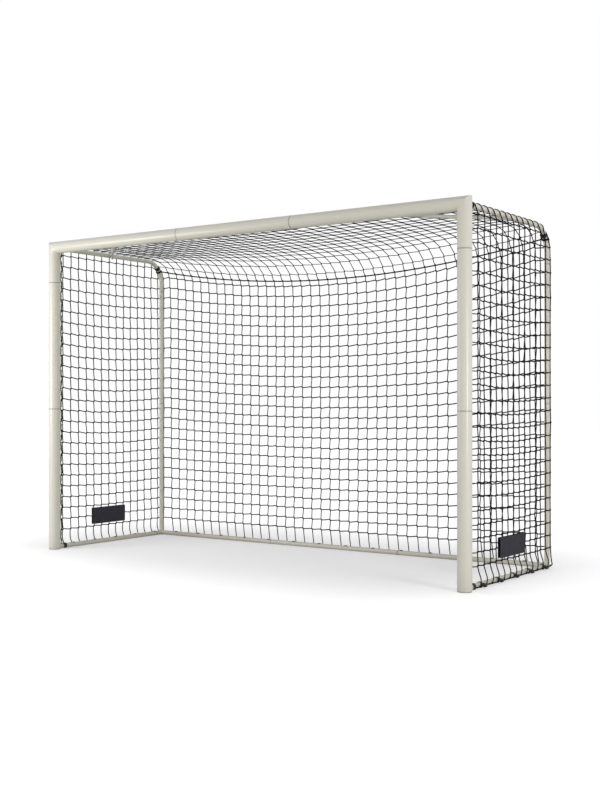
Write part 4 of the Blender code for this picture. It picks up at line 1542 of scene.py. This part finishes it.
@dataclass
class Ropes:
    """Tension rope, edge rope and lacing, with their ties and loops."""

    shape: NetShape
    finishes: Finishes
    sides: int = 12
    loop_r: float = 0.0017
    loop_sides: int = 6
    loop_turns: float = 1.3
    loop_climb: float = 0.0032
    loop_gap: float = 0.0014
    loop_pitch: float = 0.040
    lacing_wave: float = 0.120
    lacing_r: float = 0.0040
    lacing_clear: Pair = (0.012, 0.010)
    lacing_sway: Pair = (0.0026, 0.0020)
    lacing_gap: float = 0.0004
    crossbar_sway: Pair = (0.0012, 0.0016)
    sway_share: float = 0.5
    sway_rate: float = 2.7
    knot_r: float = 0.0024
    knot_reach: float = 0.0030
    knot_place: Triple = (0.002, 0.002, 0.003)
    tie_gap: float = 0.0003
    tie_turns: float = 1.6
    tie_climb: float = 0.0036
    tie_r: float = 0.0021
    end_gap: float = 0.0001
    end_turns: float = 2.5
    end_width: float = 0.016
    end_behind: Pair = (0.006, 0.004)
    end_reach: Pair = (0.03, 0.02)
    hook_swing: float = math.radians(59.6842)
    hook_out: float = 0.6
    loop_aside: Pair = (0.010, 0.020)
    edge_wave: float = 0.0014
    edge_wave_length: float = 0.2035
    edge_rise: float = 0.0012
    edge_rates: Pair = (37.0, 30.9)
    corner_inset: float = 0.01
    corner_start: float = 0.12
    corner_reach: Pair = (0.0085, 0.24)
    corner_rise: Pair = (0.006, 0.3)

    def rope(self, name: str, path: Array, reference: Array, replaces: Sequence[str] = (),
             radius: float | None = None) -> None:
        """Make one rope, as thick as the plain one unless a radius is given."""
        skin = cords(path[None], reference, radius or self.shape.rope_r, self.sides)
        make_piece(name, skin, self.finishes.rope, replaces)

    def loops(self, name: str, centres: Array, along: Array, side: Array, radius: float) -> None:
        """Make small cord loops round a rope.

        Args:
            name: the piece's name.
            centres: their centres.
            along: unit direction of the rope, at all centres or at each.
            side: a direction never along the rope.
            radius: radius of each loop's centre line.
        """
        along = np.broadcast_to(along, centres.shape)
        angle = np.linspace(0, self.loop_turns * TURN, 17)[:, None]
        first = square_to(side, along)
        second, along = np.cross(along, first)[:, None], along[:, None]
        paths = (centres[:, None]
                 + radius * (first[:, None] * np.cos(angle) + second * np.sin(angle))
                 + along * np.linspace(-1, 1, 17)[:, None] * self.loop_climb)
        skin = cords(paths, np.broadcast_to(along, paths.shape), self.loop_r, self.loop_sides)
        make_piece(name, skin, self.finishes.net, (), CORD_CREASE)

    def build_tension(self) -> None:
        """Make the tension rope, its turns round each bend, and a knot outside each."""
        shape, lay = self.shape, self.shape.layout
        x = np.linspace(-shape.reach, shape.reach, 120)
        self.rope("tension_rope_braided", spread(x, *shape.rope(x)), UP, ["tension_rope"],
                  shape.tension_r)
        turn_r = lay.bar_r + shape.rope_r + self.tie_gap
        tilt = spread(0.0, math.sin(shape.tie_angle), math.cos(shape.tie_angle))
        along = np.cross(tilt, ACROSS)
        angle = np.linspace(0, self.tie_turns * TURN, 80)[:, None]
        turn = np.linspace(0, TURN, 48)[:, None]
        for side in Side:
            out = side.out
            centre = lay.at(side, *lay.bend(shape.tie_angle))
            climb = along * (angle / np.pi - self.tie_turns) * self.tie_climb
            path = centre - turn_r * (out * np.cos(angle) + tilt * np.sin(angle)) + climb
            self.rope(f"tension_tie_{side.word}", path, along)
            outside, aside, below = self.knot_place
            knot = centre + out * (turn_r + outside) + along * aside - tilt * below
            trefoil = (out * (np.sin(turn) + 2 * np.sin(2 * turn)) / 2
                       + along * (np.cos(turn) - 2 * np.cos(2 * turn)) - tilt * np.sin(3 * turn))
            self.rope(f"tension_knot_{side.word}", knot + self.knot_reach * trefoil,
                      np.array([0.3, 0.2, 1.0]), (), self.knot_r)

    def edge_path(self) -> Array:
        """Route of the edge rope outside the ground bars, drawn to a point at each rear corner.

        The corner's reach and rise each grow by size * exp(-(angle / width)^2).

        Returns:
            Centre points.
        """
        shape, lay = self.shape, self.shape.layout
        out, height = shape.edge_out, shape.edge_height
        y_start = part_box("edge_rope")[0].y
        y = np.linspace(y_start, lay.y_rear - self.corner_inset, 60)
        wave = self.edge_wave * np.sin((y - y_start) * TURN / self.edge_wave_length)
        right = spread(lay.x_post + out + wave, y,
                       height + self.edge_rise * np.sin(y * self.edge_rates[0]))
        angle = np.linspace(self.corner_start, np.pi / 2 - self.corner_start, 9)
        reach, rise = (size * np.exp(-((angle - np.pi / 4) / width) ** 2)
                       for size, width in (self.corner_reach, self.corner_rise))
        turn = spread(lay.x_post + (out + reach) * np.cos(angle),
                      lay.y_rear + (out + reach) * np.sin(angle), height + rise)
        x = np.linspace(lay.x_post - self.corner_inset, 0, 80)
        wave = self.edge_wave * np.sin(x * self.edge_rates[1])
        rear = spread(x, lay.y_rear + out + wave, height)
        half = np.concatenate([right, turn, rear])
        return np.concatenate([half[:-1] * (-1, 1, 1), half[::-1]])

    def build_edge(self) -> None:
        """Make the edge rope and the loops that hold the net's lowest cords to it."""
        shape, lay = self.shape, self.shape.layout
        self.rope("edge_rope_braided", self.edge_path(), UP, ["edge_rope"])
        radius = shape.rope_r + self.loop_gap
        rear = spread(shape.columns() + self.loop_aside[0], lay.y_rear + shape.edge_out,
                      shape.edge_height)
        self.loops("edge_loops_rear", rear, ACROSS, UP, radius)
        for side in Side:
            centres = spread(side.value * (lay.x_post + shape.edge_out),
                             shape.side_y(side) + self.loop_aside[1], shape.edge_height)
            self.loops(f"edge_loops_{side.word}", centres, BACK, UP, radius)

    def build_lacing(self) -> None:
        """Make the wavy lacing behind the posts and the crossbar, with its small loops."""
        shape, lay = self.shape, self.shape.layout
        foot, top = self.lacing_clear
        z = np.linspace(2 * lay.bar_r + foot, lay.z_top - lay.bar_r - top, 300)
        phase = TURN * z / self.lacing_wave
        sway = np.sin(phase) + self.sway_share * np.sin(self.sway_rate * phase + 1.0)
        inward, back = (width * sway for width in self.lacing_sway)
        for side in Side:
            x = side.value * (lay.x_post - shape.lacing_inset - self.lacing_gap - inward)
            path = spread(x, lay.y_front + shape.lacing_depth + back, z)
            node = f"post_lacing_{side.word}"
            self.rope(node + "_braided", path, ACROSS + 0.3 * BACK, [node], self.lacing_r)
            self.lacing_loops(f"post_lacing_loops_{side.word}", path, BACK)
            self.lacing_ends(side, path)
        x = np.linspace(-shape.reach, shape.reach, 420)
        y, z = shape.front_edge(x, shape.cord_r * 2 + self.lacing_r)
        phase = TURN * x / self.lacing_wave
        back, up = self.crossbar_sway
        path = spread(x, y + back * np.sin(phase), z + up * np.cos(phase))
        self.rope("crossbar_lacing_braided", path, UP + 0.2 * BACK, ["crossbar_lacing"],
                  self.lacing_r)
        self.lacing_loops("crossbar_lacing_loops", path, UP)

    def lacing_loops(self, name: str, path: Array, side: Array) -> None:
        """Make the small loops at even distances along a lacing.

        Args:
            name: the piece's name.
            path: the lacing's centre points.
            side: a direction never along it.
        """
        arc = distance_along(path)
        pick = np.searchsorted(arc, np.arange(self.loop_pitch / 2, arc[-1], self.loop_pitch))
        self.loops(name, path[pick], unit(np.gradient(path, axis=0))[pick], side,
                   self.lacing_r + self.loop_gap)

    def lacing_ends(self, side: Side, path: Array) -> None:
        """Make the turns that tie a post's lacing round both side bars.

        Args:
            side: the goal's end.
            path: the lacing's centre points.
        """
        lay, out = self.shape.layout, side.out
        radius = lay.bar_r + self.tie_r + self.end_gap
        behind, reach = self.end_behind, self.end_reach
        angle = np.linspace(0, self.end_turns * TURN, 90)[:, None]
        top = lay.at(side, path[-1, 1] + behind[0], lay.z_top)
        coil = (top + radius * (-UP * np.cos(angle) + out * np.sin(angle))
                + BACK * angle / angle[-1] * self.end_width)
        drop = np.linspace(path[-1] - UP * reach[0], coil[0], 6)[:-1]
        self.rope(f"lacing_top_tie_{side.word}", np.concatenate([drop, coil]), BACK, (),
                  self.tie_r)
        foot = lay.at(side, path[0, 1] + behind[1], lay.bar_r)
        swing = np.linspace(0, self.hook_swing, 8)[:, None]
        hook = foot + radius * (UP * np.cos(swing) + out * np.sin(swing) * self.hook_out)
        rise = np.linspace(path[0] + UP * reach[1], hook[0], 5)[:-1]
        self.rope(f"lacing_foot_tie_{side.word}", np.concatenate([rise, hook]), BACK, (),
                  self.tie_r)

    def build(self) -> None:
        """Make every rope."""
        self.build_tension()
        self.build_edge()
        self.build_lacing()


@dataclass
class Clips:
    """Black rings and clips on the thin bars."""

    layout: Layout
    finishes: Finishes
    ring_angle: float = math.radians(44.0)
    ring: Pair = (0.024, 0.0034)
    ring_closure: Triple = (0.016, 0.012, 0.0055)
    ring_closure_gap: float = 0.0046
    foot: Pair = (0.026, 0.0026)
    foot_rib: Pair = (0.0044, 0.0038)
    foot_turn: Pair = (280.0, -140.0)
    clip: Pair = (0.016, 0.0022)
    clip_start: float = 0.17
    clip_pitch: float = 0.2035
    side_clips: int = 5
    rear_clips: int = 14
    half_turn: float = 180.0
    open_angles: Pair = (-145.0, -35.0)
    side_blocks: tuple[tuple[Triple, Triple], ...] = (
        ((0.0200, 0.0, 0.004), (0.024, 0.016, 0.009)),
        ((0.0245, 0.021, -0.003), (0.026, 0.0180, 0.0120)))
    rear_blocks: tuple[tuple[Triple, Triple], ...] = (
        ((0.0185, 0.0, 0.007), (0.022, 0.010, 0.0045)),)
    bar_gap: float = 0.0004
    stations: int = 48
    band_corner: float = 0.42
    block_corner: float = 0.36
    block_nose: tuple[Pair, ...] = (
        (-0.5, 0.62), (-0.47, 0.88), (-0.40, 1.0), (0.40, 1.0), (0.47, 0.88), (0.5, 0.62))

    def band(self, centre: Array, along: Array, size: Pair, sweep: float = 360.0,
             start: float = 0.0) -> Skin:
        """Band of rounded section round a thin bar, for a whole turn or a part of one.

        Args:
            centre: point on the bar's axis.
            along: unit direction of the bar.
            size: width along the bar, and thickness.
            sweep: the turn covered, in degrees.
            start: the angle in degrees where it starts, from straight up.

        Returns:
            The band.
        """
        width, thickness = size
        first, whole = square_to(UP, along), sweep > 359.9
        share = np.linspace(0, 1, self.stations, endpoint=not whole)
        angle = np.radians(start + sweep * share)[:, None]
        out = first * np.cos(angle) + np.cross(along, first) * np.sin(angle)
        section = rounded_section(thickness, width, thickness * self.band_corner)[::-1]
        reach = self.layout.bar_r + self.bar_gap + thickness / 2 + section[:, :1]
        return lattice((centre + out[:, None] * reach + along * section[:, 1:])[None], whole)

    def block(self, centre: Array, along: Array, out: Array, size: Triple) -> Skin:
        """Small rounded block, such as a band's closure.

        Args:
            centre: its centre.
            along: unit direction of its length.
            out: unit direction of its height.
            size: length, width and height.

        Returns:
            The block.
        """
        length, width, height = size
        section = rounded_section(width, height, min(width, height) * self.block_corner)
        share, scale = np.array(self.block_nose).T[:, :, None, None]
        flat = section[:, :1] * np.cross(out, along) + section[:, 1:] * out
        return lattice((centre + share * length * along + scale * flat)[None])

    def fitting(self, name: str, skins: Sequence[Skin], replaces: Sequence[str] = ()) -> None:
        """Make one black fitting."""
        make_piece(name, Skin.joined(skins), self.finishes.plastic, replaces)

    def build_rings(self) -> None:
        """Make the rings on the rear bends, each with its closure on the inner side."""
        lay = self.layout
        for side in Side:
            node = f"bend_ring_{side.word}"
            centre = lay.at(side, *lay.bend(self.ring_angle))
            along = spread(0.0, math.cos(self.ring_angle), -math.sin(self.ring_angle))
            inward = square_to(unit(-side.out - UP * 0.6), along)
            closure = centre + inward * (lay.bar_r + self.ring_closure_gap)
            self.fitting(node + "_moulded", [self.band(centre, along, self.ring), self.block(
                closure, along, inward, self.ring_closure)], [node])

    def build_foot_clips(self) -> None:
        """Make the wide open clips on the ground bars behind the posts, with a rib at each end."""
        lay = self.layout
        for side in Side:
            node = f"foot_clip_{side.word}"
            lo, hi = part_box(node)
            centre = lay.at(side, (lo.y + hi.y) / 2, lay.bar_r)
            half = BACK * (self.foot[0] - self.foot_rib[0]) / 2
            skins = [self.band(centre + half * sign, BACK, size, *self.foot_turn)
                     for sign, size in ((0, self.foot), (-1, self.foot_rib), (1, self.foot_rib))]
            self.fitting(node + "_moulded", skins, [node])

    def build_ground_clips(self) -> None:
        """Make the clips along the ground bars, each a hook and an eye for the edge rope.

        Every block has a place, outward, along the bar and up from its axis, and a size.
        """
        lay, (left, right) = self.layout, self.open_angles
        y = lay.y_front + self.clip_start + self.clip_pitch * np.arange(self.side_clips)
        x = (np.arange(self.rear_clips) - (self.rear_clips - 1) / 2) * self.clip_pitch
        runs = (("left", lay.at(Side.LEFT, y, lay.bar_r), BACK, -ACROSS, left, self.side_blocks),
                ("right", lay.at(Side.RIGHT, y, lay.bar_r), BACK, ACROSS, right, self.side_blocks),
                ("rear", spread(x, lay.y_rear, lay.bar_r), ACROSS, BACK, left, self.rear_blocks))
        for word, centres, along, out, start, blocks in runs:
            skins = []
            for centre in centres:
                skins.append(self.band(centre, along, self.clip, self.half_turn, start))
                for (outward, forward, up), size in blocks:
                    place = centre + out * outward + along * forward + UP * up
                    skins.append(self.block(place, along, out, size))
            self.fitting(f"ground_clips_{word}", skins)

    def build(self) -> None:
        """Make all the black fittings."""
        self.build_rings()
        self.build_foot_clips()
        self.build_ground_clips()


@dataclass
class Labels:
    """Bare woven labels, a leaf on each face of the side nets, with stitched hems."""

    shape: NetShape
    finishes: Finishes
    length: float = 0.318
    height: float = 0.110
    thickness: float = 0.0009
    round_edge: float = 0.0012
    least_edge: float = 0.09
    ripple: float = 0.0010
    stand_off: float = 0.0074
    hem: float = 0.006
    stitch: float = 0.0042
    stitch_bow: float = 0.0004
    thread_r: float = 0.00035
    grid: tuple[int, int] = (64, 24)
    crease: float = 60.0
    waves: Pair = (6.9, 2.3)
    wave_shift: float = 0.6
    wave_edge: float = 6.0
    hem_swell: float = 0.5

    def leaf(self, middle: Array, out: Array) -> Skin:
        """One leaf: a sheet that ripples between the cords behind it and closes at its edges.

        Its stand-off is ripple * sin(a * u) * cos(b * v) * edge, where edge falls to zero at
        the hem, and its thickness follows a rounded edge.

        Args:
            middle: the leaf's centre.
            out: unit direction away from the net.

        Returns:
            The closed leaf.
        """
        u, v = np.meshgrid(*(np.linspace(-1, 1, count) for count in self.grid), indexing="ij")
        edge = np.minimum(1 - np.abs(u), (1 - np.abs(v)) * self.height / self.length)
        inset = edge * self.length / 2
        rounded = 1 - (1 - np.clip(inset / self.round_edge, 0, 1)) ** 2
        half = (self.thickness / 2 * np.sqrt(np.clip(rounded, self.least_edge, 1))
                * (1 + self.hem_swell * (inset < self.hem)))
        wave = (self.ripple * np.sin(u * self.waves[0] + self.wave_shift)
                * np.cos(v * self.waves[1]) * np.clip(edge * self.wave_edge, 0, 1))
        place = spread(u * self.length / 2, v * self.height / 2)
        flat = middle + place[..., :1] * BACK + place[..., 1:] * UP
        points = np.stack([flat + out * (wave + side)[..., None] for side in (half, -half)])
        index = np.arange(u.size).reshape(u.shape)
        quads = spread(index[:-1, :-1], index[1:, :-1], index[1:, 1:], index[:-1, 1:])
        quads = quads.reshape(-1, 4)
        border = np.concatenate([index[:-1, 0], index[-1, :-1], index[:0:-1, -1], index[0, :0:-1]])
        following = np.roll(border, -1)
        rim = spread(following, border, border + u.size, following + u.size)
        faces = np.concatenate([quads, quads[:, ::-1] + u.size, rim])
        if out[0] < 0:
            faces = faces[:, ::-1]
        uv = np.tile(place.reshape(-1, 2), (2, 1))[faces]
        return Skin(points.reshape(-1, 3), [faces], [uv])

    def stitches(self, middle: Array, out: Array) -> Skin:
        """Short stitches along the hem, each a small bowed thread.

        Args:
            middle: the leaf's centre.
            out: unit direction away from the net.

        Returns:
            The stitches.
        """
        half_l, half_h = self.length / 2 - self.hem, self.height / 2 - self.hem
        starts, runs = [], []
        for way, cross, reach, offset in ((BACK, UP, half_l, half_h), (UP, BACK, half_h, half_l)):
            places = np.arange(-reach, reach - self.stitch, self.stitch * 1.5)[:, None]
            for sign in (-1.0, 1.0):
                starts.append(middle + sign * offset * cross + places * way)
                runs.append(np.tile(way * self.stitch, (len(places), 1)))
        start, run = np.concatenate(starts)[:, None], np.concatenate(runs)[:, None]
        share = np.linspace(0, 1, 5)[:, None]
        bow = self.thickness + self.stitch_bow * np.sin(np.pi * share)
        return cords(start + share * run + bow * out, out, self.thread_r, 5)

    def build(self) -> None:
        """Make both labels: the left one read from inside, the right one from outside."""
        for side in Side:
            node = f"label_{side.word}"
            lo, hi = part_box(node)
            leaves, seams = [], []
            for out in (-ACROSS, ACROSS):
                middle = (spread(self.shape.side_x(side), (lo.y + hi.y) / 2, (lo.z + hi.z) / 2)
                          + out * self.stand_off)
                leaves.append(self.leaf(middle, out))
                seams.append(self.stitches(middle, out))
            make_piece(node + "_woven", Skin.joined(leaves), self.finishes.label,
                       [node], self.crease)
            make_piece(node + "_stitches", Skin.joined(seams), self.finishes.stitch,
                       (), CORD_CREASE)


def dress_hidden_metal(finishes: Finishes) -> None:
    """Give the frame's own sleeves and joiners inside the tubes their metals.

    Args:
        finishes: the finishes.
    """
    for name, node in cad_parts.items():
        for word, metal in (("sleeve", finishes.aluminium), ("joiner", finishes.zinc)):
            if word in name:
                node.data.materials.clear()
                node.data.materials.append(metal)


# Studio


@dataclass(frozen=True)
class Lamp:
    """A square soft lamp that faces a point: both places, its side, and its power in watts."""

    name: str
    place: Triple
    aim: Triple
    size: float
    power: float


@dataclass(frozen=True)
class Studio:
    """Pale floor, soft lamps and the camera at the photograph's place."""

    layout: Layout
    camera_place: Triple = (4.1133, -5.4392, 0.9625)
    camera_turn: float = 0.6346
    far_end: float = 200.0
    focal_px: float = 1179.34
    long_side_px: float = 800.0
    axis_px: Pair = (248.8, 401.32)
    frame_px: Pair = (600.0, 800.0)
    floor_half: float = 30.0
    floor_colour: Triple = (0.68, 0.68, 0.68)
    # The floor's painted shadow: a lower white lift in a box round the goal, rising to the far lift
    # beyond it.
    shade_centre: Triple = (-0.20, 0.05, 0.0)
    shade_half: Triple = (1.10, 0.35, 0.0)
    shade_reach: float = 1.45
    painted_shadow_lift: float = 0.34
    far_lift: float = 0.66
    sky_low: float = 1.56
    sky_top: float = 0.00
    lamps: tuple[Lamp, ...] = (
        Lamp("left_lamp", (-2.40, -2.50, 1.3), (-1.2, -0.4, 1.4), 1.05, 43.0),
        Lamp("right_lamp", (4.10, -1.60, 1.1), (1.4, -0.4, 1.0), 0.75, 38.0))

    def build_camera(self) -> None:
        """Place the camera, whose Y is measured from the front tube's axis."""
        data = bpy.data.cameras.new("photo_camera")
        data.lens = self.focal_px * data.sensor_width / self.long_side_px
        data.shift_x = (self.frame_px[0] / 2 - self.axis_px[0]) / self.long_side_px
        data.shift_y = (self.axis_px[1] - self.frame_px[1] / 2) / self.long_side_px
        data.clip_end = self.far_end
        camera = linked("photo_camera", data)
        x, y, z = self.camera_place
        camera.location = (x, y + self.layout.y_front, z)
        camera.rotation_euler = (math.pi / 2, 0.0, self.camera_turn)
        bpy.context.scene.camera = camera

    def build_lamps(self) -> None:
        """Hang every lamp, unseen by the camera."""
        for lamp in self.lamps:
            data = bpy.data.lights.new(lamp.name, "AREA")
            data.shape, data.size, data.energy = "SQUARE", lamp.size, lamp.power
            hung = linked(lamp.name, data)
            hung.location = lamp.place
            way = Vector(np.array(lamp.aim) - np.array(lamp.place))
            hung.rotation_euler = way.to_track_quat("-Z", "Y").to_euler()
            hung.visible_camera = False

    def build_world(self) -> None:
        """Grey sky, brighter near the horizon, and white where the camera or a gloss looks."""
        world = bpy.data.worlds.new("studio")
        world.use_nodes = True
        bpy.context.scene.world = world
        graph = Graph(world.node_tree)
        rays = graph.add("LightPath").outputs
        gloss = graph.math("MAXIMUM", rays["Is Glossy Ray"], rays["Is Transmission Ray"])
        seen = graph.math("MAXIMUM", rays["Is Camera Ray"], gloss)
        way = graph.add("TexCoord").outputs["Generated"]
        height = graph.math("ABSOLUTE", graph.add("SeparateXYZ", {"Vector": way}).outputs["Z"])
        sky = graph.math("MULTIPLY_ADD", height, self.sky_top - self.sky_low, self.sky_low)
        white = graph.math("MULTIPLY", seen, graph.math("SUBTRACT", 1.0, sky))
        graph.fill(world.node_tree.nodes["Background"],
                   {"Color": WHITE, "Strength": graph.math("ADD", sky, white)})

    def build_floor(self) -> None:
        """White floor with the goal's cast shadow, lifted less near the goal as a painted shadow.
        """
        mesh = bpy.data.meshes.new("studio_floor")
        corners = [(x * self.floor_half, y * self.floor_half, 0.0)
                   for x, y in ((-1, -1), (1, -1), (1, 1), (-1, 1))]
        mesh.from_pydata(corners, [], [(0, 1, 2, 3)])
        floor = linked("studio_floor", mesh)
        bench = Bench("studio_floor")
        place, none = bench.coords["Object"], (0.0, 0.0, 0.0)
        for operation, amount in (("SUBTRACT", self.shade_centre), ("ABSOLUTE", none),
                                  ("SUBTRACT", self.shade_half), ("MAXIMUM", none)):
            place = bench.add("VectorMath", {0: place, 1: amount}, operation=operation).outputs[0]
        reach = bench.add("VectorMath", {0: place}, operation="LENGTH").outputs["Value"]
        # Lower lift near the goal paints a soft shadow there, on top of the real cast shadow.
        lift = bench.add("MapRange", {"Value": reach, "From Min": 0.0, "From Max": self.shade_reach,
                                      "To Min": self.painted_shadow_lift, "To Max": self.far_lift},
                         interpolation_type="SMOOTHSTEP").outputs["Result"]
        seen = bench.add("LightPath").outputs["Is Camera Ray"]
        mesh.materials.append(bench.done(
            {"Roughness": 0.9, "Specular IOR Level": 0.1, "Base Color": self.floor_colour,
             "Emission Color": WHITE, "Emission Strength": bench.math("MULTIPLY", seen, lift)}))

    def build(self) -> None:
        """Set up the whole studio."""
        self.build_camera()
        self.build_world()
        self.build_floor()
        self.build_lamps()
        bpy.context.scene.view_settings.view_transform = "Standard"


def main() -> None:
    """Build the studio and every piece of the goal in order."""
    logging.basicConfig(level=logging.INFO, format="%(message)s")
    layout = Layout()
    Studio(layout).build()
    finishes = Finishes()
    shape = NetShape(layout)
    for part in (TubeFrame(layout, finishes), Feet(layout, finishes), Screws(layout, finishes),
                 Ropes(shape, finishes), Clips(layout, finishes), KnottedNet(shape, finishes),
                 Labels(shape, finishes)):
        part.build()
    dress_hidden_metal(finishes)


if __name__ == "__main__":
    main()
